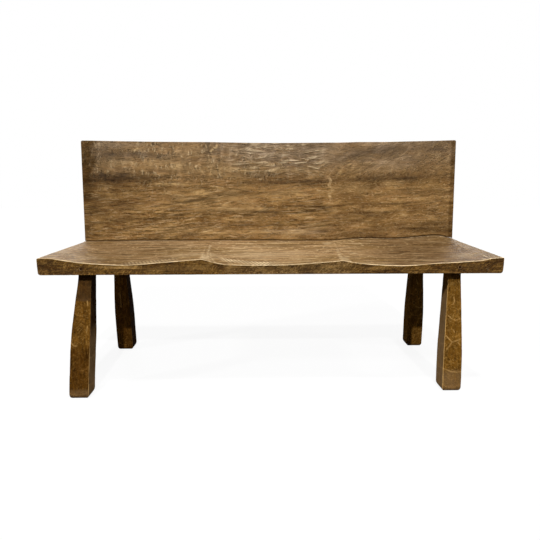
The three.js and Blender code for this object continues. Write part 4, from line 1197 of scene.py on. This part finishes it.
def whittlePeg(node, material):
    low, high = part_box(node)
    middle = (low + high) / 2
    radius = (high.x - low.x) / 2 - pegShape["slack"] * mm
    rim, dome = pegShape["rim"] * mm, pegShape["dome"] * mm
    tall = high.y - low.y - 2 * dome
    angle = np.arange(pegShape["columns"]) * 2 * math.pi / pegShape["columns"]
    sector = 2 * math.pi / pegShape["flats"]
    flat = math.cos(sector / 2) / np.cos(angle % sector - sector / 2)
    ends = np.array(pegShape["rimLevels"]) * rim
    shaft = np.linspace(2 * rim, tall - 2 * rim, pegShape["rows"])
    levels = np.concatenate([ends, shaft, (tall - ends)[::-1]])
    fromEnd = np.clip(np.minimum(levels, tall - levels) / rim, 0, 1)
    body = radius * (1 - pegShape["flatShare"] * (1 - flat))[None, :]
    body = body - rim * quarterRound(1 - fromEnd)[:, None]
    # Each end rises to a low dome in the middle
    shares = np.array(pegShape["domeRings"])
    cap = shares[:, None] * body[:1]
    heights = np.concatenate([dome * shares ** 2, dome + levels, high.y - low.y - dome * shares[::-1] ** 2])
    points, faces = latheSkin(heights, np.concatenate([cap, body, cap[::-1]]))
    onSide = np.array([[1, 0, 0], [0, 0, 1], [0, -1, 0]])
    addPiece(node, points @ onSide.T + np.array([middle.x, low.y, middle.z]), faces, material)


# Coach screws and washers, in the upright frame of the plank that they hold. Sizes in mm
screwShape = {
    # Up the head from its outer face: heights, and the radii that its flats and corners are kept within
    "head": [(0, 1.5), (0, 5.6), (0.15, 6.2), (0.9, 7.6), (5.2, 7.6), (5.5, 7.3)],
    "columns": 36, "across": 13, "rod": 4.0, "shank": 34, "tip": 12, "point": 0.2,
    "pitch": 3.6, "threadDepth": 0.8, "threadFlank": (0.28, 0.5), "rowsPerTurn": 9,
}
washerShape = {"columns": 72, "hole": 8.6, "lip": 0.3, "roll": 0.9, "rollMiddle": 0.25, "burr": 0.1}


def addTurned(node, turn, points, faces, material, slot):
    # Stands a lathed piece where its packed one stands, leans it with the plank, and sharpens its edges
    low, high = extentOf(node, turn)
    placed = (points * mm + np.array([*(low + high)[:2] / 2, low[2]])) @ np.array(turn)
    piece = addPiece(node, placed, faces, material)
    piece.data.set_sharp_from_angle(angle=math.radians(joinery["sharpAngle"]))


def makeScrew(node, turn, material):
    low, high = extentOf(node, turn)
    tall = (high[2] - low[2]) / mm
    rod, pitch = screwShape["rod"], screwShape["pitch"]
    angle = np.arange(screwShape["columns"]) * 2 * math.pi / screwShape["columns"]
    flat = screwShape["across"] / 2 / np.cos(angle % (math.pi / 3) - math.pi / 6)
    heights = [level for level, _ in screwShape["head"]]
    rings = [np.minimum(flat, limit) for _, limit in screwShape["head"]]
    head = heights[-1]
    heights.append(head)
    rings.append(np.full(len(angle), rod))
    threadFrom = head + screwShape["shank"]
    for level in np.arange(head + 0.5, tall, pitch / screwShape["rowsPerTurn"]):
        thread = screwShape["threadDepth"] * softStep(level, threadFrom, threadFrom + 2 * pitch)
        phase = (level / pitch - angle / (2 * math.pi)) % 1
        valley = thread * (1 - softStep(np.abs(phase - 0.5), *screwShape["threadFlank"]))
        heights.append(level)
        rings.append((rod - valley) * min(1, (tall - level + screwShape["point"]) / screwShape["tip"]))
    addTurned(node, turn, *latheSkin(heights, np.array(rings)), material, "screw_steel")


def makeWasher(node, turn, material):
    low, high = extentOf(node, turn)
    inner, outer = washerShape["hole"] / 2, (high[0] - low[0]) / mm / 2
    thick = (high[2] - low[2]) / mm
    lip, roll, middle, burr = (washerShape[name] for name in ("lip", "roll", "rollMiddle", "burr"))
    # Stamped: rolled over on the side that the die met, and sharp on the other
    profile = [
        (inner, lip), (inner + lip, 0), (outer - roll, 0), (outer - middle, middle), (outer, roll),
        (outer, thick - burr), (outer - burr, thick), (inner + burr, thick), (inner, thick - burr),
    ]
    radii = np.repeat(np.array([[radius] for radius, _ in profile]), washerShape["columns"], 1)
    heights = [level for _, level in profile]
    addTurned(node, turn, *latheSkin(heights, radii, closed=True), material, "washer_steel")


woods = {
    "seat": carvedHardwood("waxed carved seat hardwood", seatWood),
    "back": carvedHardwood("waxed carved back hardwood", backWood),
    "leg": carvedHardwood("waxed hewn leg hardwood", legWood),
    "peg": carvedHardwood("whittled peg hardwood", pegWood),
    "tenon": carvedHardwood("planed tenon hardwood", tenonWood),
}
steels = {
    "screw": zincPlatedSteel("zinc-plated screw steel", screwSteel),
    "washer": zincPlatedSteel("zinc-plated washer steel", washerSteel),
}
print("materials made")

plankUpright = plankTurn()
slipMortises = [swollen(node, plankUpright) for node in slipTenons]
bars = [screwBars(screw, washer, plankUpright) for screw, washer in screwPairs]
seatPiece = carveSeat(woods["seat"])
legMortises = [tenonBar(leg, joinery["clearance"] * mm) for leg in legNodes]
screwHoles = [hole for hole, _ in bars]
counterbores = [counterbore for _, counterbore in bars]
# Known fault: this cut is refused, so the slab has no leg mortises, slip mortises or counterbores
combine(seatPiece, legMortises + slipMortises + counterbores, "DIFFERENCE")
combine(seatPiece, [pegHole(peg) for peg in pegs] + screwHoles, "DIFFERENCE")
print("seat slab carved")
backPiece = carvePlank(woods["back"])
# Known fault: this cut is refused too, so the plank has no slip mortises or screw holes
combine(backPiece, slipMortises + screwHoles, "DIFFERENCE")
print("back plank carved")
for leg in legNodes:
    hewLeg(leg, woods["leg"])
for peg in pegs:
    whittlePeg(peg, woods["peg"])
print("legs hewn and pegged")
for screw, washer in screwPairs:
    makeScrew(screw, plankUpright, steels["screw"])
    makeWasher(washer, plankUpright, steels["washer"])
for node in slipTenons:
    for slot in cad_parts[node].material_slots:
        slot.material = woods["tenon"]
print("screws, washers and slip tenons finished")
